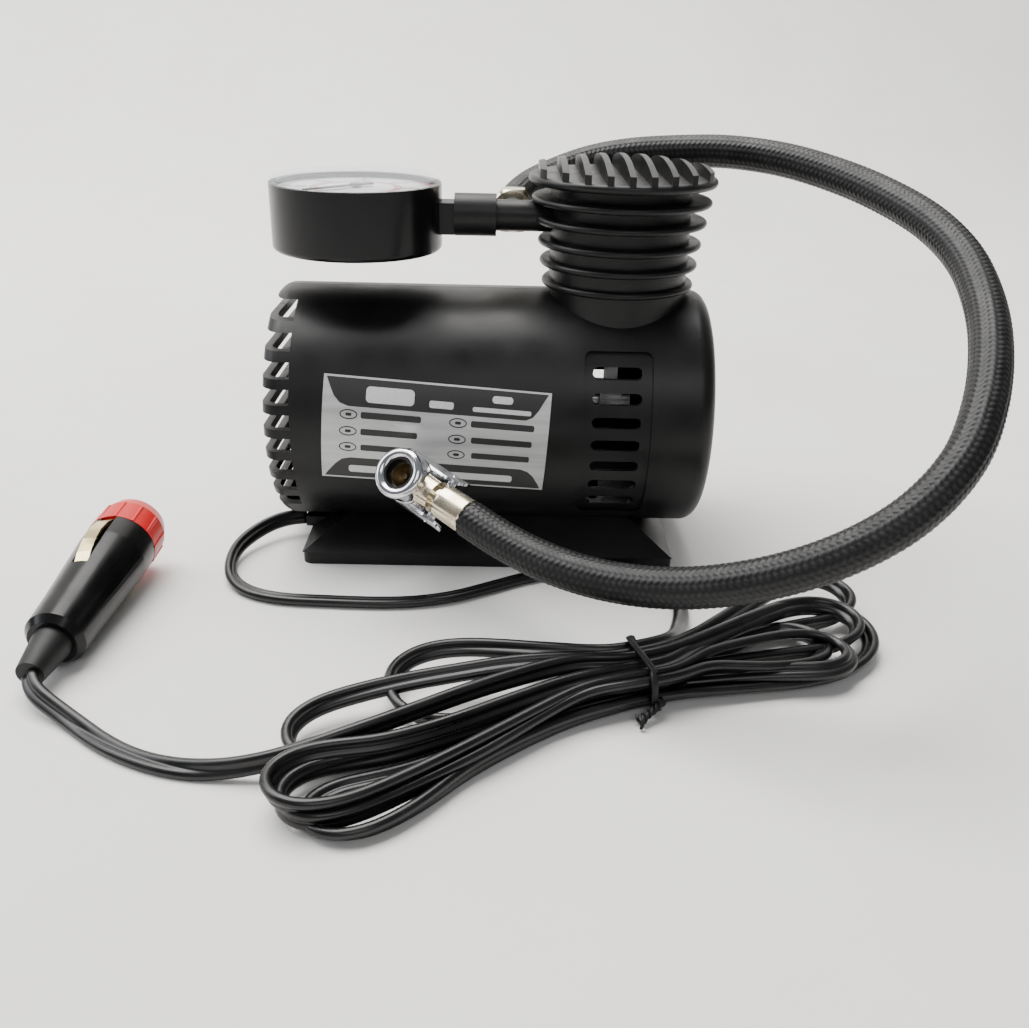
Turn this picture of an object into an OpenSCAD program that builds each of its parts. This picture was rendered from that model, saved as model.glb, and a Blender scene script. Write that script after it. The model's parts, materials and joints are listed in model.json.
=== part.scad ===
// Portable 12 volt tyre inflator: a motor and gearbox in a lying cylinder, a finned
// compressor tower, a round pressure gauge, a braided hose with a lever chuck and a
// cigarette-lighter plug on a bundled flat cord. +X runs along the body to the tower
// end, -Y is the labelled front and Z = 0 is the floor under the base plate.

/* [Body] */
// Outer diameter of the lying body cylinder
body_d = 74; // [73:0.5:75]
// Length of the body cylinder
body_len = 133; // [131:1:134]
// Height of the body axis above the floor
axis_z = 43.8; // [43.5:0.1:44]
// Wall thickness of the moulded shells
wall = 2.2; // [2:0.1:2.4]
// Radius of the rounded end edges of the body
end_r = 5; // [3:0.5:6]
// Gap between the front and rear shells at the split line
seam = 0.3; // [0.2:0.05:0.4]

/* [Tower] */
// Distance of the tower axis from the middle of the body
tower_x = 38.3; // [38:0.1:39]
// Outer radius of the tower neck
neck_r = 21; // [20.8:0.1:21.4]
// Radius of the top disc
top_disc_r = 28; // [27:0.5:29]
// Height of the top face of the top disc
top_disc_z = 115.2; // [115:0.1:116]
// Height of the crown of the cooling ribs
crown_z = 120.7; // [120:0.1:122]
// Number of ribs on the crown
crown_ribs = 9; // [8:1:10]

/* [Base] */
// Length of the base plate
base_len = 116; // [112:1:120]
// Width of the base plate
base_w = 64.4; // [62:0.2:66]
// Thickness of the base plate
base_t = 4; // [3.5:0.1:4.2]

/* [Gauge] */
// Outer radius of the gauge case
gauge_r = 25.5; // [25:0.1:26]
// Position of the gauge axis along the body
gauge_x = -41; // [-41.5:0.1:-40.5]
// Height of the underside of the gauge case
gauge_z0 = 92.2; // [91.5:0.1:92.5]
// Height of the rim of the gauge case
gauge_z1 = 111.5; // [111:0.1:112]
// Height of the outlet pipe axis
pipe_z = 102.7; // [102.5:0.1:103]

/* [Hose and cord] */
// Outer diameter of the braided hose
hose_d = 10.5; // [10:0.1:11]
// Width of the flat two-core cord
cord_w = 5; // [4.5:0.1:5.2]
// Thickness of the flat two-core cord
cord_t = 2.6; // [2.3:0.1:2.8]

/* [Mechanism] */
// Outer diameter of the motor can
motor_d = 36; // [35:0.5:36]
// Height of the motor axis
motor_z = 32; // [31.8:0.1:32.2]
// Gear module
gear_m = 0.8; // [0.8:0.1:0.8]
// Teeth on the motor pinion
pinion_teeth = 10; // [10:1:10]
// Teeth on the crank gear
crank_teeth = 40; // [40:1:40]
// Crank throw, half the piston stroke
throw = 6.5; // [6:0.1:6.5]
// Distance between the two eyes of the connecting rod
rod_len = 33; // [33:0.1:33]
// Bore of the compressor cylinder
bore_d = 20; // [20:1:20]

/* [Hidden] */
$fn = 64;

big = 400;
body_r = body_d / 2;
body_in = body_r - wall;
half_len = body_len / 2;
neck_in = neck_r - wall;
crank_z = motor_z + gear_m * (pinion_teeth + crank_teeth) / 2;
wrist_z = crank_z - throw + rod_len;
sleeve_z0 = 71.5;
sleeve_z1 = 97;
plate_z1 = 99;
flange_r = 17.4;
head_bolt_r = 14.8;
fin_z = [84.8, 90.9, 96.9, 103.3, 109.1];
fin_r = [23.2, 24, 24.7, 25.8, 26.9];
fin_t = 2;
rib_pitch = 6;
rib_t = 1.8;
slot_z = [for (i = [0:8]) 76.6 - 7.05 * i];
slot_h = 4.3;
slot_x = -58;
vent_z = [for (i = [0:6]) 63.3 - 6.75 * i];
vent_x = [30, 44.5];
vent_h = 3.3;
screw_xz = [[-53.5, 60], [-53.5, 26], [56, 60], [56, 26]];
foot_screw_xy = [[-30, -10], [-30, 10], [34, -10], [34, 10]];
label_box = [66, 31];
label_x = -15.75;
label_z = 44.7;
label_tilt = 3.5;
label_t = 0.3;
nut_y = [8, 15.5];
branch_x = 5.8;
plate_x = [12, 16];
gear_x = [20, 25];
rod_x = [34.8, 41.8];
chuck_at = [-21.6, -53.3, 38.5];
chuck_turn = [53, 14, -38];
head_h = 8;
pivot_x = 10.5;
pivot_low = 3;
plug_at = [-108.2, -46.55, 12.55];
plug_turn = [5.8, 0, -2.7];
plug_len = 46.5;

// Hose route, from the hose nut to the chuck ferrule
hose_path = [[5.8, 18.2, 102.9], [5.9, 22, 103], [7, 28, 104], [12, 37, 107], [21, 43, 110.5], [32, 46, 114],
    [44, 45, 116.5], [58, 42, 118], [75, 35, 119], [91, 25, 118], [105, 12, 115],
    [116, -4, 111], [124, -21, 106], [128, -38, 99.5], [127, -57, 91.5],
    [123, -74, 83.5], [117, -89, 75], [109, -101, 66], [97, -109, 56.5],
    [83, -111, 47.5], [67, -108, 39], [50, -102, 32.5], [34, -94, 29], [19, -85, 28.5],
    [6, -75, 30], [-4.9, -66.5, 33.2]];

// Cord from the base to the hank, then from the hank to the plug
lead_path = [[-60.2, -10, 6], [-65, -10.5, 6], [-69.5, -14, 6], [-73, -18, 5.5],
    [-76, -22.5, 4.8], [-78.5, -28, 4], [-79.3, -34.5, 3.2], [-78.5, -41, 2.4],
    [-76, -47, 1.7], [-72, -51.5, 1.4], [-66, -55, 1.4], [-58, -57, 1.4],
    [-47, -57.5, 1.4], [-35, -58, 1.4], [-23, -57.5, 1.4], [-10, -54, 1.4],
    [3, -46.5, 1.4], [15, -39.8, 1.4], [29, -37.3, 1.4], [43, -38.5, 1.4],
    [53, -44, 1.4], [57, -54, 1.4], [56, -65, 2], [53.5, -75, 4], [51, -84, 7]];
tail_path = [[-31, -130.5, 8.4], [-42, -134, 6], [-52, -135, 3.6], [-63, -134.5, 2],
    [-74, -131.5, 1.4], [-85, -126, 1.4], [-94, -119.5, 1.8], [-101.5, -114.3, 3.2],
    [-107.2, -111.2, 4.7], [-110.3, -108.8, 6], [-110.97, -105.38, 6.57]];
hank_outline = [[37.7, -90.8], [20, -89], [0, -86.5], [-15, -88], [-25, -97], [-28, -107],
    [-40, -112.5], [-47, -121], [-46.5, -132], [-48.5, -145], [-41, -156], [-24, -157.5],
    [-10, -149], [8, -128], [26, -115], [44.2, -107.3], [60, -104], [82, -100],
    [100, -92.5], [109.5, -78], [109.5, -62], [106, -49], [94, -46.5], [78, -59],
    [60, -78], [48, -87]];
hank_h = 11;
tie_at = [41, -99, 0];
tie_turn = 19;
tie_w = 3;

function spline(p, i, t) =
    let (a = p[i], b = p[i + 1],
        before = i == 0 ? 2 * a - b : p[i - 1],
        after = i + 2 < len(p) ? p[i + 2] : 2 * b - a)
    0.5 * (2 * a + (b - before) * t + (2 * before - 5 * a + 4 * b - after) * t * t
        + (3 * a - before - 3 * b + after) * t * t * t);
function smooth(p, n) = concat(
    [for (i = [0:len(p) - 2]) for (k = [0:n - 1]) spline(p, i, k / n)], [p[len(p) - 1]]);
function closed(p, n) =
    let (m = len(p))
    [for (i = [0:m - 1]) for (k = [0:n - 1])
        spline([p[(i + m - 1) % m], p[i], p[(i + 1) % m], p[(i + 2) % m]], 1, k / n)];
function unit(v) = v / norm(v);
function heading(p, i) = unit(p[min(i + 1, len(p) - 1)] - p[max(i - 1, 0)]);
function across(d) = unit(cross(d, [0, 0, 1]));
function ring_at(p, i, w, t, sides) =
    let (d = heading(p, i), side = across(d), up = cross(side, d))
    [for (k = [0:sides - 1])
        p[i] + side * (w / 2) * cos(360 * k / sides) + up * (t / 2) * sin(360 * k / sides)];

// A flat or round tube swept along a list of points
module sweep(p, w, t, sides) {
    rings = len(p);
    points = [for (i = [0:rings - 1]) each ring_at(p, i, w, t, sides)];
    walls = [for (i = [0:rings - 2]) for (k = [0:sides - 1])
        [i * sides + k, i * sides + (k + 1) % sides,
            (i + 1) * sides + (k + 1) % sides, (i + 1) * sides + k]];
    start_cap = [[for (k = [0:sides - 1]) sides - 1 - k]];
    end_cap = [[for (k = [0:sides - 1]) (rings - 1) * sides + k]];
    polyhedron(points, concat(start_cap, walls, end_cap), convexity = 10);
}

module along_x(x0, x1, r, y = 0, z = 0) {
    translate([x0, y, z]) rotate([0, 90, 0]) cylinder(r = r, h = x1 - x0);
}

module along_y(y0, y1, r, x = 0, z = 0) {
    translate([x, y1, z]) rotate([90, 0, 0]) cylinder(r = r, h = y1 - y0);
}

module box(x, y, z) {
    translate([x[0], y[0], z[0]]) cube([x[1] - x[0], y[1] - y[0], z[1] - z[0]]);
}

// Solid of revolution about the body axis with rounded end edges
module barrel(r, x0, x1, edge) {
    translate([x0, 0, axis_z]) rotate([0, 90, 0]) {
        translate([0, 0, edge]) cylinder(r = r, h = x1 - x0 - 2 * edge, $fn = 128);
        for (end = [0, 1]) translate([0, 0, end * (x1 - x0)]) mirror([0, 0, end])
            rotate_extrude($fn = 128) {
                square([r - edge, edge]);
                intersection() {
                    translate([r - edge, edge]) circle(edge);
                    translate([r - edge - 1, 0]) square([edge + 1, edge]);
                }
            }
    }
}

module ring_z(r, r_in, z0, z1) {
    translate([0, 0, z0]) difference() {
        cylinder(r = r, h = z1 - z0, $fn = 128);
        translate([0, 0, -1]) cylinder(r = r_in, h = z1 - z0 + 2, $fn = 128);
    }
}

// Disc with a rounded rim
module soft_disc(r, z0, z1) {
    h = z1 - z0;
    translate([0, 0, z0]) rotate_extrude($fn = 128) {
        square([r - h / 2, h]);
        translate([r - h / 2, h / 2]) circle(h / 2, $fn = 24);
    }
}

module tower_outside() {
    translate([tower_x, 0, 0]) {
        translate([0, 0, axis_z]) cylinder(r = neck_r, h = top_disc_z - axis_z - 1, $fn = 128);
        for (i = [0:len(fin_z) - 1]) soft_disc(fin_r[i], fin_z[i] - fin_t, fin_z[i]);
        soft_disc(top_disc_r, top_disc_z - 2.6, top_disc_z);
        intersection() {
            for (i = [0:crown_ribs - 1])
                translate([(i - (crown_ribs - 1) / 2) * rib_pitch - rib_t / 2, -big / 2,
                    top_disc_z - 1])
                    cube([rib_t, big, crown_z - top_disc_z + 2]);
            translate([0, 0, top_disc_z - 1]) cylinder(r = top_disc_r - 0.5, h = 20, $fn = 128);
            translate([0, 0, crown_z - 123]) sphere(123, $fn = 200);
        }
    }
}

module shell_inside() {
    barrel(body_in, -half_len + wall, half_len - wall, end_r - wall);
    translate([tower_x, 0, axis_z])
        cylinder(r = neck_in, h = top_disc_z - 2.4 - axis_z, $fn = 128);
}

module vent_slot(z) {
    for (side = [0, 1]) mirror([0, side, 0]) {
        box([vent_x[0] + vent_h / 2, vent_x[1] - vent_h / 2], [8, big], [z - vent_h / 2,
            z + vent_h / 2]);
        for (x = [vent_x[0] + vent_h / 2, vent_x[1] - vent_h / 2])
            along_y(8, 60, vent_h / 2, x, z);
    }
}

// Shallow field around the vents
module vent_recess() {
    intersection() {
        union() {
            box([29.5, 45.5], [-60, 60], [17.5, 69]);
            box([27.5, 47.5], [-60, 60], [19.5, 67]);
            for (x = [29.5, 45.5]) for (z = [19.5, 67]) along_y(-60, 60, 2, x, z);
        }
        difference() {
            along_x(20, 55, body_r + 1, 0, axis_z);
            along_x(19, 56, body_r - 0.8, 0, axis_z);
            box([0, 60], [-6, 6], [0, 90]);
        }
    }
}

// Rings inside the shells that clamp the motor
module motor_cradle() {
    intersection() {
        difference() {
            for (x = [-36, 2]) along_x(x, x + 2, body_in + 0.5, 0, axis_z);
            along_x(-60, 30, motor_d / 2, 0, motor_z);
            box([-60, 30], [-15, 15], [motor_z, 72]);
        }
        barrel(body_r - 0.5, -half_len, half_len, end_r);
    }
}

// Two rings that hold the rim of the crankcase plate
module plate_groove() {
    for (x = [plate_x[0] - 2.1, plate_x[1] + 0.1]) difference() {
        along_x(x, x + 2, body_in + 0.5, 0, axis_z);
        along_x(x - 1, x + 3, body_in - 2.3, 0, axis_z);
    }
}

module shell_bosses() {
    intersection() {
        union() {
            for (p = screw_xz) along_y(-34, 34, 3.6, p[0], p[1]);
            for (p = foot_screw_xy) translate([p[0], p[1], 7]) cylinder(r = 3.4, h = 8);
        }
        barrel(body_r - 0.5, -half_len, half_len, end_r);
    }
}

module shells() {
    difference() {
        union() {
            difference() {
                union() {
                    barrel(body_r, -half_len, half_len, end_r);
                    tower_outside();
                }
                shell_inside();
                for (z = slot_z) box([-big / 2, slot_x], [-60, 60], [z - slot_h / 2,
                    z + slot_h / 2]);
                for (z = vent_z) vent_slot(z);
                vent_recess();
            }
            motor_cradle();
            difference() {
                plate_groove();
                translate([tower_x, 0, axis_z]) cylinder(r = neck_in, h = 60);
            }
            shell_bosses();
        }
        along_x(-10, tower_x, 4.75, 0, pipe_z);
        for (p = foot_screw_xy) translate([p[0], p[1], -1]) cylinder(r = 1.45, h = 17);
        box([-51, -46], [-12, -6], [5, 12]);
    }
}

module front_housing() {
    color("dimgray") difference() {
        intersection() {
            shells();
            box([-big, big], [-big, -seam / 2], [0, big]);
        }
        for (p = screw_xz) along_y(-14, 1, 1.35, p[0], p[1]);
        label_skin(0.05);
    }
}

module rear_housing() {
    color("dimgray") difference() {
        intersection() {
            shells();
            box([-big, big], [seam / 2, big], [0, big]);
        }
        for (p = screw_xz) {
            along_y(-1, 60, 1.7, p[0], p[1]);
            along_y(12, 60, 3, p[0], p[1]);
        }
    }
}

// Frustum with straight sides, from an end profile and a side profile
module pedestal() {
    intersection() {
        rotate([90, 0, 0]) linear_extrude(base_w, center = true)
            polygon([[-base_len / 2, base_t], [-44, 13], [44, 13], [base_len / 2, base_t]]);
        rotate([90, 0, 90]) linear_extrude(base_len, center = true)
            polygon([[-base_w / 2, base_t], [-20, 13], [20, 13], [base_w / 2, base_t]]);
    }
}

module base_foot() {
    corner = 3;
    color("dimgray") difference() {
        union() {
            box([-base_len / 2 + corner, base_len / 2 - corner],
                [-base_w / 2, base_w / 2], [0, base_t]);
            box([-base_len / 2, base_len / 2],
                [-base_w / 2 + corner, base_w / 2 - corner], [0, base_t]);
            for (x = [-1, 1]) for (y = [-1, 1])
                translate([x * (base_len / 2 - corner), y * (base_w / 2 - corner), 0])
                    cylinder(r = corner, h = base_t);
            difference() {
                pedestal();
                difference() {
                    box([-42, 42], [-18, 18], [2.5, 20]);
                    for (p = foot_screw_xy) translate([p[0], p[1], 0]) cylinder(r = 5, h = 20);
                }
            }
        }
        barrel(body_r, -half_len, half_len, end_r);
        for (p = foot_screw_xy) translate([p[0], p[1], 0]) {
            translate([0, 0, -1]) cylinder(r = 3.2, h = 3.2);
            cylinder(r = 1.7, h = 20);
        }
        box([-70, -42], [-13.2, -6.8], [base_t, 7.4]);
    }
}

// Curved skin in the front of the body, grown by a margin
module label_skin(margin) {
    intersection() {
        difference() {
            along_x(-60, 30, body_r + margin, 0, axis_z);
            along_x(-61, 31, body_r - label_t - margin, 0, axis_z);
        }
        translate([label_x, -30, label_z]) rotate([0, label_tilt, 0])
            cube([label_box[0] + 2 * margin, 30, label_box[1] + 2 * margin], center = true);
    }
}

module label_plate() {
    color("silver") label_skin(0);
}

// Four screws through the rear shell and four up through the base plate
module case_screws() {
    color("gray") for (p = screw_xz) {
        along_y(-12, 12.5, 1.3, p[0], p[1]);
        along_y(12.02, 14.5, 2.8, p[0], p[1]);
    }
    color("gray") for (p = foot_screw_xy) translate([p[0], p[1], 0]) {
        translate([0, 0, 0.3]) cylinder(r = 3, h = 1.88);
        translate([0, 0, 1]) cylinder(r = 1.4, h = 12);
    }
}

module gauge_case() {
    color("black") for (a = [40, 140, 220, 320]) translate([gauge_x, 0, 0]) rotate(a)
        translate([22.7, 0, gauge_z0 + 1]) cylinder(r = 1.4, h = 109.28 - gauge_z0 - 1);
    color("black") difference() {
        translate([gauge_x, 0, gauge_z0]) rotate_extrude($fn = 128) {
            square([gauge_r - 1.5, gauge_z1 - gauge_z0]);
            translate([0, 1.5]) square([gauge_r, gauge_z1 - gauge_z0 - 1.5]);
            translate([gauge_r - 1.5, 1.5]) circle(1.5, $fn = 24);
        }
        translate([gauge_x, 0, gauge_z0 + 1.5]) cylinder(r = gauge_r - 1.5, h = 30, $fn = 128);
        box([gauge_x, 0], [-4.7, 4.7], [pipe_z - 5.5, pipe_z + 3.85]);
    }
}

module gauge_lens() {
    color([0.8, 0.9, 0.95, 0.4]) translate([gauge_x, 0, gauge_z1]) difference() {
        rotate_extrude($fn = 128) {
            square([gauge_r - 0.5, 0.8]);
            square([gauge_r - 1.5, 1.8]);
            translate([gauge_r - 1.5, 0.8]) circle(1, $fn = 24);
        }
        translate([0, 0, -2]) cylinder(r = big, h = 2);
        translate([0, 0, -1]) cylinder(r = gauge_r - 2.2, h = 1.8, $fn = 128);
    }
}

module gauge_dial() {
    color("white") translate([gauge_x, 0, 109.3]) difference() {
        cylinder(r = gauge_r - 1.7, h = 0.5, $fn = 128);
        translate([0, 0, -1]) cylinder(r = 1.3, h = 3);
    }
}

// Outline of a spur gear with straight tooth flanks, backlash at the pitch line
module gear_outline(teeth, m, backlash) {
    rp = teeth * m / 2;
    tip = rp + 0.9 * m;
    root = rp - 1.15 * m;
    at_pitch = 90 / teeth - backlash / rp * 28.65;
    at_root = at_pitch + 22 / teeth;
    at_tip = at_pitch - 38 / teeth;
    polygon([for (i = [0:teeth - 1]) for (s = [[root, -at_root], [rp, -at_pitch],
        [tip, -at_tip], [tip, at_tip], [rp, at_pitch], [root, at_root]])
        s[0] * [cos(360 * i / teeth + s[1]), sin(360 * i / teeth + s[1])]]);
}

sector_m = 0.4;
sector_teeth = 55;
needle_teeth = 10;
sector_gap = sector_m * (sector_teeth + needle_teeth) / 2;

module gauge_needle() {
    color("red") translate([gauge_x, 0, 0]) {
        translate([0, 0, 98.5]) cylinder(r = 0.7, h = 12.5);
        translate([0, 0, 102]) linear_extrude(2) rotate(-90 + 180 / needle_teeth)
            gear_outline(needle_teeth, sector_m, 0.1);
        translate([0, 0, 110.2]) cylinder(r = 1.8, h = 0.8);
        translate([0, 0, 110.3]) rotate(-135) linear_extrude(0.5)
            polygon([[-6, -1], [-6, 1], [0, 0.9], [19, 0.25], [19, -0.25], [0, -0.9]]);
    }
}

module gauge_sector() {
    color("goldenrod") translate([gauge_x, -sector_gap, 0]) {
        translate([0, 0, 98.5]) cylinder(r = 0.7, h = 9.4);
        translate([0, 0, 102.2]) cylinder(r = 1.7, h = 1.6);
        translate([0, 0, 102.2]) linear_extrude(1.6) {
            intersection() {
                rotate(90) gear_outline(sector_teeth, sector_m, 0.1);
                polygon([[0, 0], for (a = [33:13:98]) 16 * [cos(a), sin(a)]]);
                difference() {
                    circle(20);
                    circle(8.6);
                }
            }
            rotate(-25) polygon([[-1.2, 0], [1.2, 0], [2, 8.8], [-2, 8.8]]);
        }
    }
}

module gauge_movement() {
    color("goldenrod") difference() {
        union() {
            box([gauge_x - 4, gauge_x + 4], [-17, 8], [98.4, 99.4]);
            box([gauge_x, -24.1], [2.4, 4.6], [98.4, 99.4]);
            box([gauge_x - 4, gauge_x + 4], [-17, 8], [107, 108]);
            for (y = [-16, 7]) translate([gauge_x, y, 98.4]) cylinder(r = 1, h = 9.6);
        }
        translate([gauge_x, 0, 90]) cylinder(r = 0.76, h = 30);
        translate([gauge_x, -sector_gap, 90]) cylinder(r = 0.76, h = 30);
    }
}

module bourdon_tube() {
    color("goldenrod") translate([gauge_x, 0, pipe_z - 0.7]) {
        rotate(17) rotate_extrude(angle = 240, $fn = 96)
            translate([18.6, -2.8]) square([1.8, 5.6]);
        rotate(257) translate([17.9, -1.5, -3]) cube([3.1, 2.6, 6]);
    }
}

module gauge_stem() {
    color("dimgray") difference() {
        union() {
            box([-24, -11.6], [-4.6, 4.6], [pipe_z - 5.4, pipe_z + 3.75]);
            along_x(-12, -6.5, 3.15, 0, pipe_z);
            box([-26, -23.9], [2.4, 4.5], [99.42, 105]);
        }
        along_x(-22, -5, 1.3, 0, pipe_z);
    }
}

module collar_nut() {
    color("dimgray") difference() {
        along_x(-11.6, 0.9, 6.2, 0, pipe_z);
        along_x(-12, 2, 3.2, 0, pipe_z);
        along_x(-6.3, 2, 3.95, 0, pipe_z);
    }
}

module outlet_manifold() {
    color("dimgray") difference() {
        union() {
            along_x(0.92, 20.5, 4.55, 0, pipe_z);
            along_x(-6, 1, 3.9, 0, pipe_z);
            along_x(20, 26.5, 3.5, 0, pipe_z);
            along_y(0, 7.98, 4.4, branch_x, pipe_z);
            along_y(7, 12, 3, branch_x, pipe_z);
        }
        along_x(-7, 30, 1.8, 0, pipe_z);
        along_y(0, 14, 1.5, branch_x, pipe_z);
    }
}

module hose_nut() {
    color("tan") difference() {
        union() {
            translate([branch_x, nut_y[1], pipe_z]) rotate([90, 0, 0]) intersection() {
                cylinder(d = 12.6 / cos(30), h = nut_y[1] - nut_y[0], $fn = 6);
                rotate_extrude($fn = 96) polygon([[0, 0], [6.2, 0], [7.3, 1.1],
                    [7.3, nut_y[1] - nut_y[0] - 1.1], [6.2, nut_y[1] - nut_y[0]],
                    [0, nut_y[1] - nut_y[0]]]);
            }
            along_y(nut_y[1] - 0.1, 17.9, 5.4, branch_x, pipe_z + 0.2);
        }
        along_y(7, 12.1, 3.05, branch_x, pipe_z);
        along_y(7, 20, 1.5, branch_x, pipe_z);
    }
}

module hose() {
    color("black") sweep(smooth(hose_path, 3), hose_d, hose_d, 12);
}

module in_chuck() {
    translate(chuck_at) rotate(chuck_turn) children();
}

module hose_ferrule() {
    color("tan") in_chuck() difference() {
        along_x(12.5, 21.9, 4.9);
        along_x(12, 23, 3.25);
    }
}

module chuck_body() {
    color("tan") in_chuck() difference() {
        union() {
            along_x(0, 21, 3.2);
            along_x(0, 10.3, 4.6);
            translate([0, 0, -5]) cylinder(r = 5, h = 8.6);
        }
        along_x(4, 22, 1.4);
        translate([0, 0, -2.6]) cylinder(r = 3.6, h = 10);
        translate([0, 0, 3.62]) cylinder(r = 4.47, h = 10);
        translate([0, 0, -6]) cylinder(r = 1.55, h = 10);
        translate([pivot_x, 10, -pivot_low]) rotate([90, 0, 0]) cylinder(r = 1.25, h = 20);
    }
}

module chuck_head() {
    color("silver") in_chuck() difference() {
        rotate_extrude($fn = 96) {
            square([6.9, 6.8]);
            translate([5.75, 6.5]) circle(1.5, $fn = 32);
            translate([5.75, 0.4]) circle(1.4, $fn = 32);
        }
        translate([0, 0, 3.62]) cylinder(r = 4.45, h = 10);
        translate([0, 0, -3]) cylinder(r = 5.02, h = 6.64);
        along_x(0, 12, 4.62);
    }
}

module chuck_seal() {
    color("black") in_chuck() difference() {
        translate([0, 0, 3.64]) cylinder(r = 4.43, h = 3.4);
        translate([0, 0, 3]) cylinder(r = 3.9, h = 5);
    }
}

module chuck_plunger() {
    color("tan") in_chuck() {
        translate([0, 0, -0.9]) cylinder(r = 3.55, h = 1.6);
        translate([0, 0, -7.9]) cylinder(r = 1.5, h = 7.2);
        translate([0, 0, 0.5]) cylinder(r = 0.9, h = 2.9);
    }
}

// Channel-shaped lever over the back of the chuck, with rounded ears at the pivot
module chuck_lever() {
    ear_y = 5.75;
    ear_t = 1.2;
    tail_x = -8.6;
    color("silver") in_chuck() {
        difference() {
            union() {
                for (s = [-1, 1]) translate([0, s * (ear_y + ear_t / 2), 0])
                    rotate([90, 0, 0]) linear_extrude(ear_t, center = true) {
                        polygon([[tail_x, -9.2], [tail_x, -7.4], [pivot_x - 2, -pivot_low + 3],
                            [pivot_x + 4, -pivot_low], [pivot_x - 2.5, -9.2]]);
                        translate([pivot_x, -pivot_low]) circle(4);
                    }
                box([tail_x, pivot_x - 2.5], [-ear_y - ear_t, ear_y + ear_t], [-9.3, -8.1]);
            }
            translate([pivot_x, 10, -pivot_low]) rotate([90, 0, 0])
                cylinder(r = 1.25, h = 20);
        }
    }
}

module chuck_pivot_pin() {
    color("silver") in_chuck() translate([pivot_x, 7.6, -pivot_low]) rotate([90, 0, 0])
        cylinder(r = 1.2, h = 15.2);
}

module motor_can() {
    color("silver") difference() {
        along_x(-40, 12, motor_d / 2 - 0.02, 0, motor_z);
        along_x(-41, 10.5, motor_d / 2 - 1.5, 0, motor_z);
        along_x(0, 13, 3.02, 0, motor_z);
        for (s = [-1, 1]) along_x(0, 13, 1.45, s * 10, motor_z);
    }
}

module motor_magnets() {
    color("dimgray") for (s = [0, 180])
        translate([-30, 0, motor_z]) rotate([0, 90, 0]) rotate(s - 65)
            rotate_extrude(angle = 130, $fn = 96) translate([13.4, 0]) square([3.08, 34]);
}

module motor_end_cap() {
    color("black") difference() {
        union() {
            along_x(-46, -40.02, motor_d / 2 - 0.02, 0, motor_z);
            along_x(-41, -38, motor_d / 2 - 1.55, 0, motor_z);
            for (s = [-1, 1]) box([-52, -45], [s * 10 - 1.5, s * 10 + 1.5],
                [motor_z - 0.4, motor_z + 0.4]);
        }
        along_x(-43, -37, 12, 0, motor_z);
        along_x(-47, -42, 3.02, 0, motor_z);
    }
}

module motor_brushes() {
    color("dimgray") for (s = [-1, 1])
        box([-41.5, -37.5], [s * 8.4 - 3.5, s * 8.4 + 3.5], [motor_z - 1.5, motor_z + 1.5]);
}

module motor_bushes() {
    color("goldenrod") for (x = [[-46, -43.02], [7.5, 12]]) difference() {
        along_x(x[0], x[1], 3, 0, motor_z);
        along_x(x[0] - 1, x[1] + 1, 1.63, 0, motor_z);
    }
}

module motor_shaft() {
    color("silver") along_x(-45.8, 26.4, 1.6, 0, motor_z);
}

module armature_core() {
    color("gray") difference() {
        along_x(-25, 0, 12.8, 0, motor_z);
        along_x(-26, 1, 1.62, 0, motor_z);
        for (i = [0:4]) translate([0, 0, motor_z]) rotate([72 * i + 20, 0, 0]) {
            box([-26, 1], [-1.2, 1.2], [8, 14]);
            along_x(-26, 1, 3, 0, 8.2);
        }
    }
}

module armature_windings() {
    color("chocolate") for (x = [[-31, -25], [0, 5.5]]) difference() {
        along_x(x[0], x[1], 10.8, 0, motor_z);
        along_x(x[0] - 1, x[1] + 1, 4, 0, motor_z);
    }
}

module commutator() {
    color("chocolate") difference() {
        along_x(-42, -32, 4.8, 0, motor_z);
        along_x(-43, -31, 1.62, 0, motor_z);
        for (i = [0:4]) translate([0, 0, motor_z]) rotate([72 * i, 0, 0])
            box([-43, -33], [-0.3, 0.3], [4, 6]);
    }
}

module motor_pinion() {
    color("goldenrod") difference() {
        translate([19.6, 0, motor_z]) rotate([90, 0, 90])
            linear_extrude(6) rotate(90) gear_outline(pinion_teeth, gear_m, 0.16);
        along_x(19, 27, 1.62, 0, motor_z);
    }
}

module crankcase() {
    color("silver") difference() {
        union() {
            intersection() {
                union() {
                    along_x(plate_x[0], plate_x[1], 20, 0, motor_z);
                    box(plate_x, [-12, 12], [motor_z, 75]);
                }
                along_x(0, 30, body_in - 0.8, 0, axis_z);
            }
            along_x(plate_x[1] - 0.1, 19.5, 8, 0, crank_z);
            box([plate_x[0], 28], [-9, 9], [71, 75]);
            translate([tower_x, 0, 0]) {
                translate([0, 0, 70]) cylinder(r = 14, h = sleeve_z1 - 70);
                translate([0, 0, 92]) cylinder(r = flange_r, h = sleeve_z1 - 92);
                for (z = [76, 81, 86]) translate([0, 0, z]) cylinder(r = flange_r, h = 1.6);
            }
        }
        translate([tower_x, 0, 60]) cylinder(r = 12.02, h = 50, $fn = 96);
        along_x(0, 30, 5.02, 0, crank_z);
        along_x(0, 30, 5, 0, motor_z);
        for (s = [-1, 1]) along_x(0, 30, 1.7, s * 10, motor_z);
        for (a = [45:90:315]) translate([tower_x, 0, 0]) rotate(a)
            translate([head_bolt_r, 0, 88]) cylinder(r = 1.3, h = 20);
    }
}

module crank_bush() {
    color("goldenrod") difference() {
        along_x(plate_x[0], 19.5, 5, 0, crank_z);
        along_x(plate_x[0] - 1, 21, 3.04, 0, crank_z);
    }
}

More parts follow.
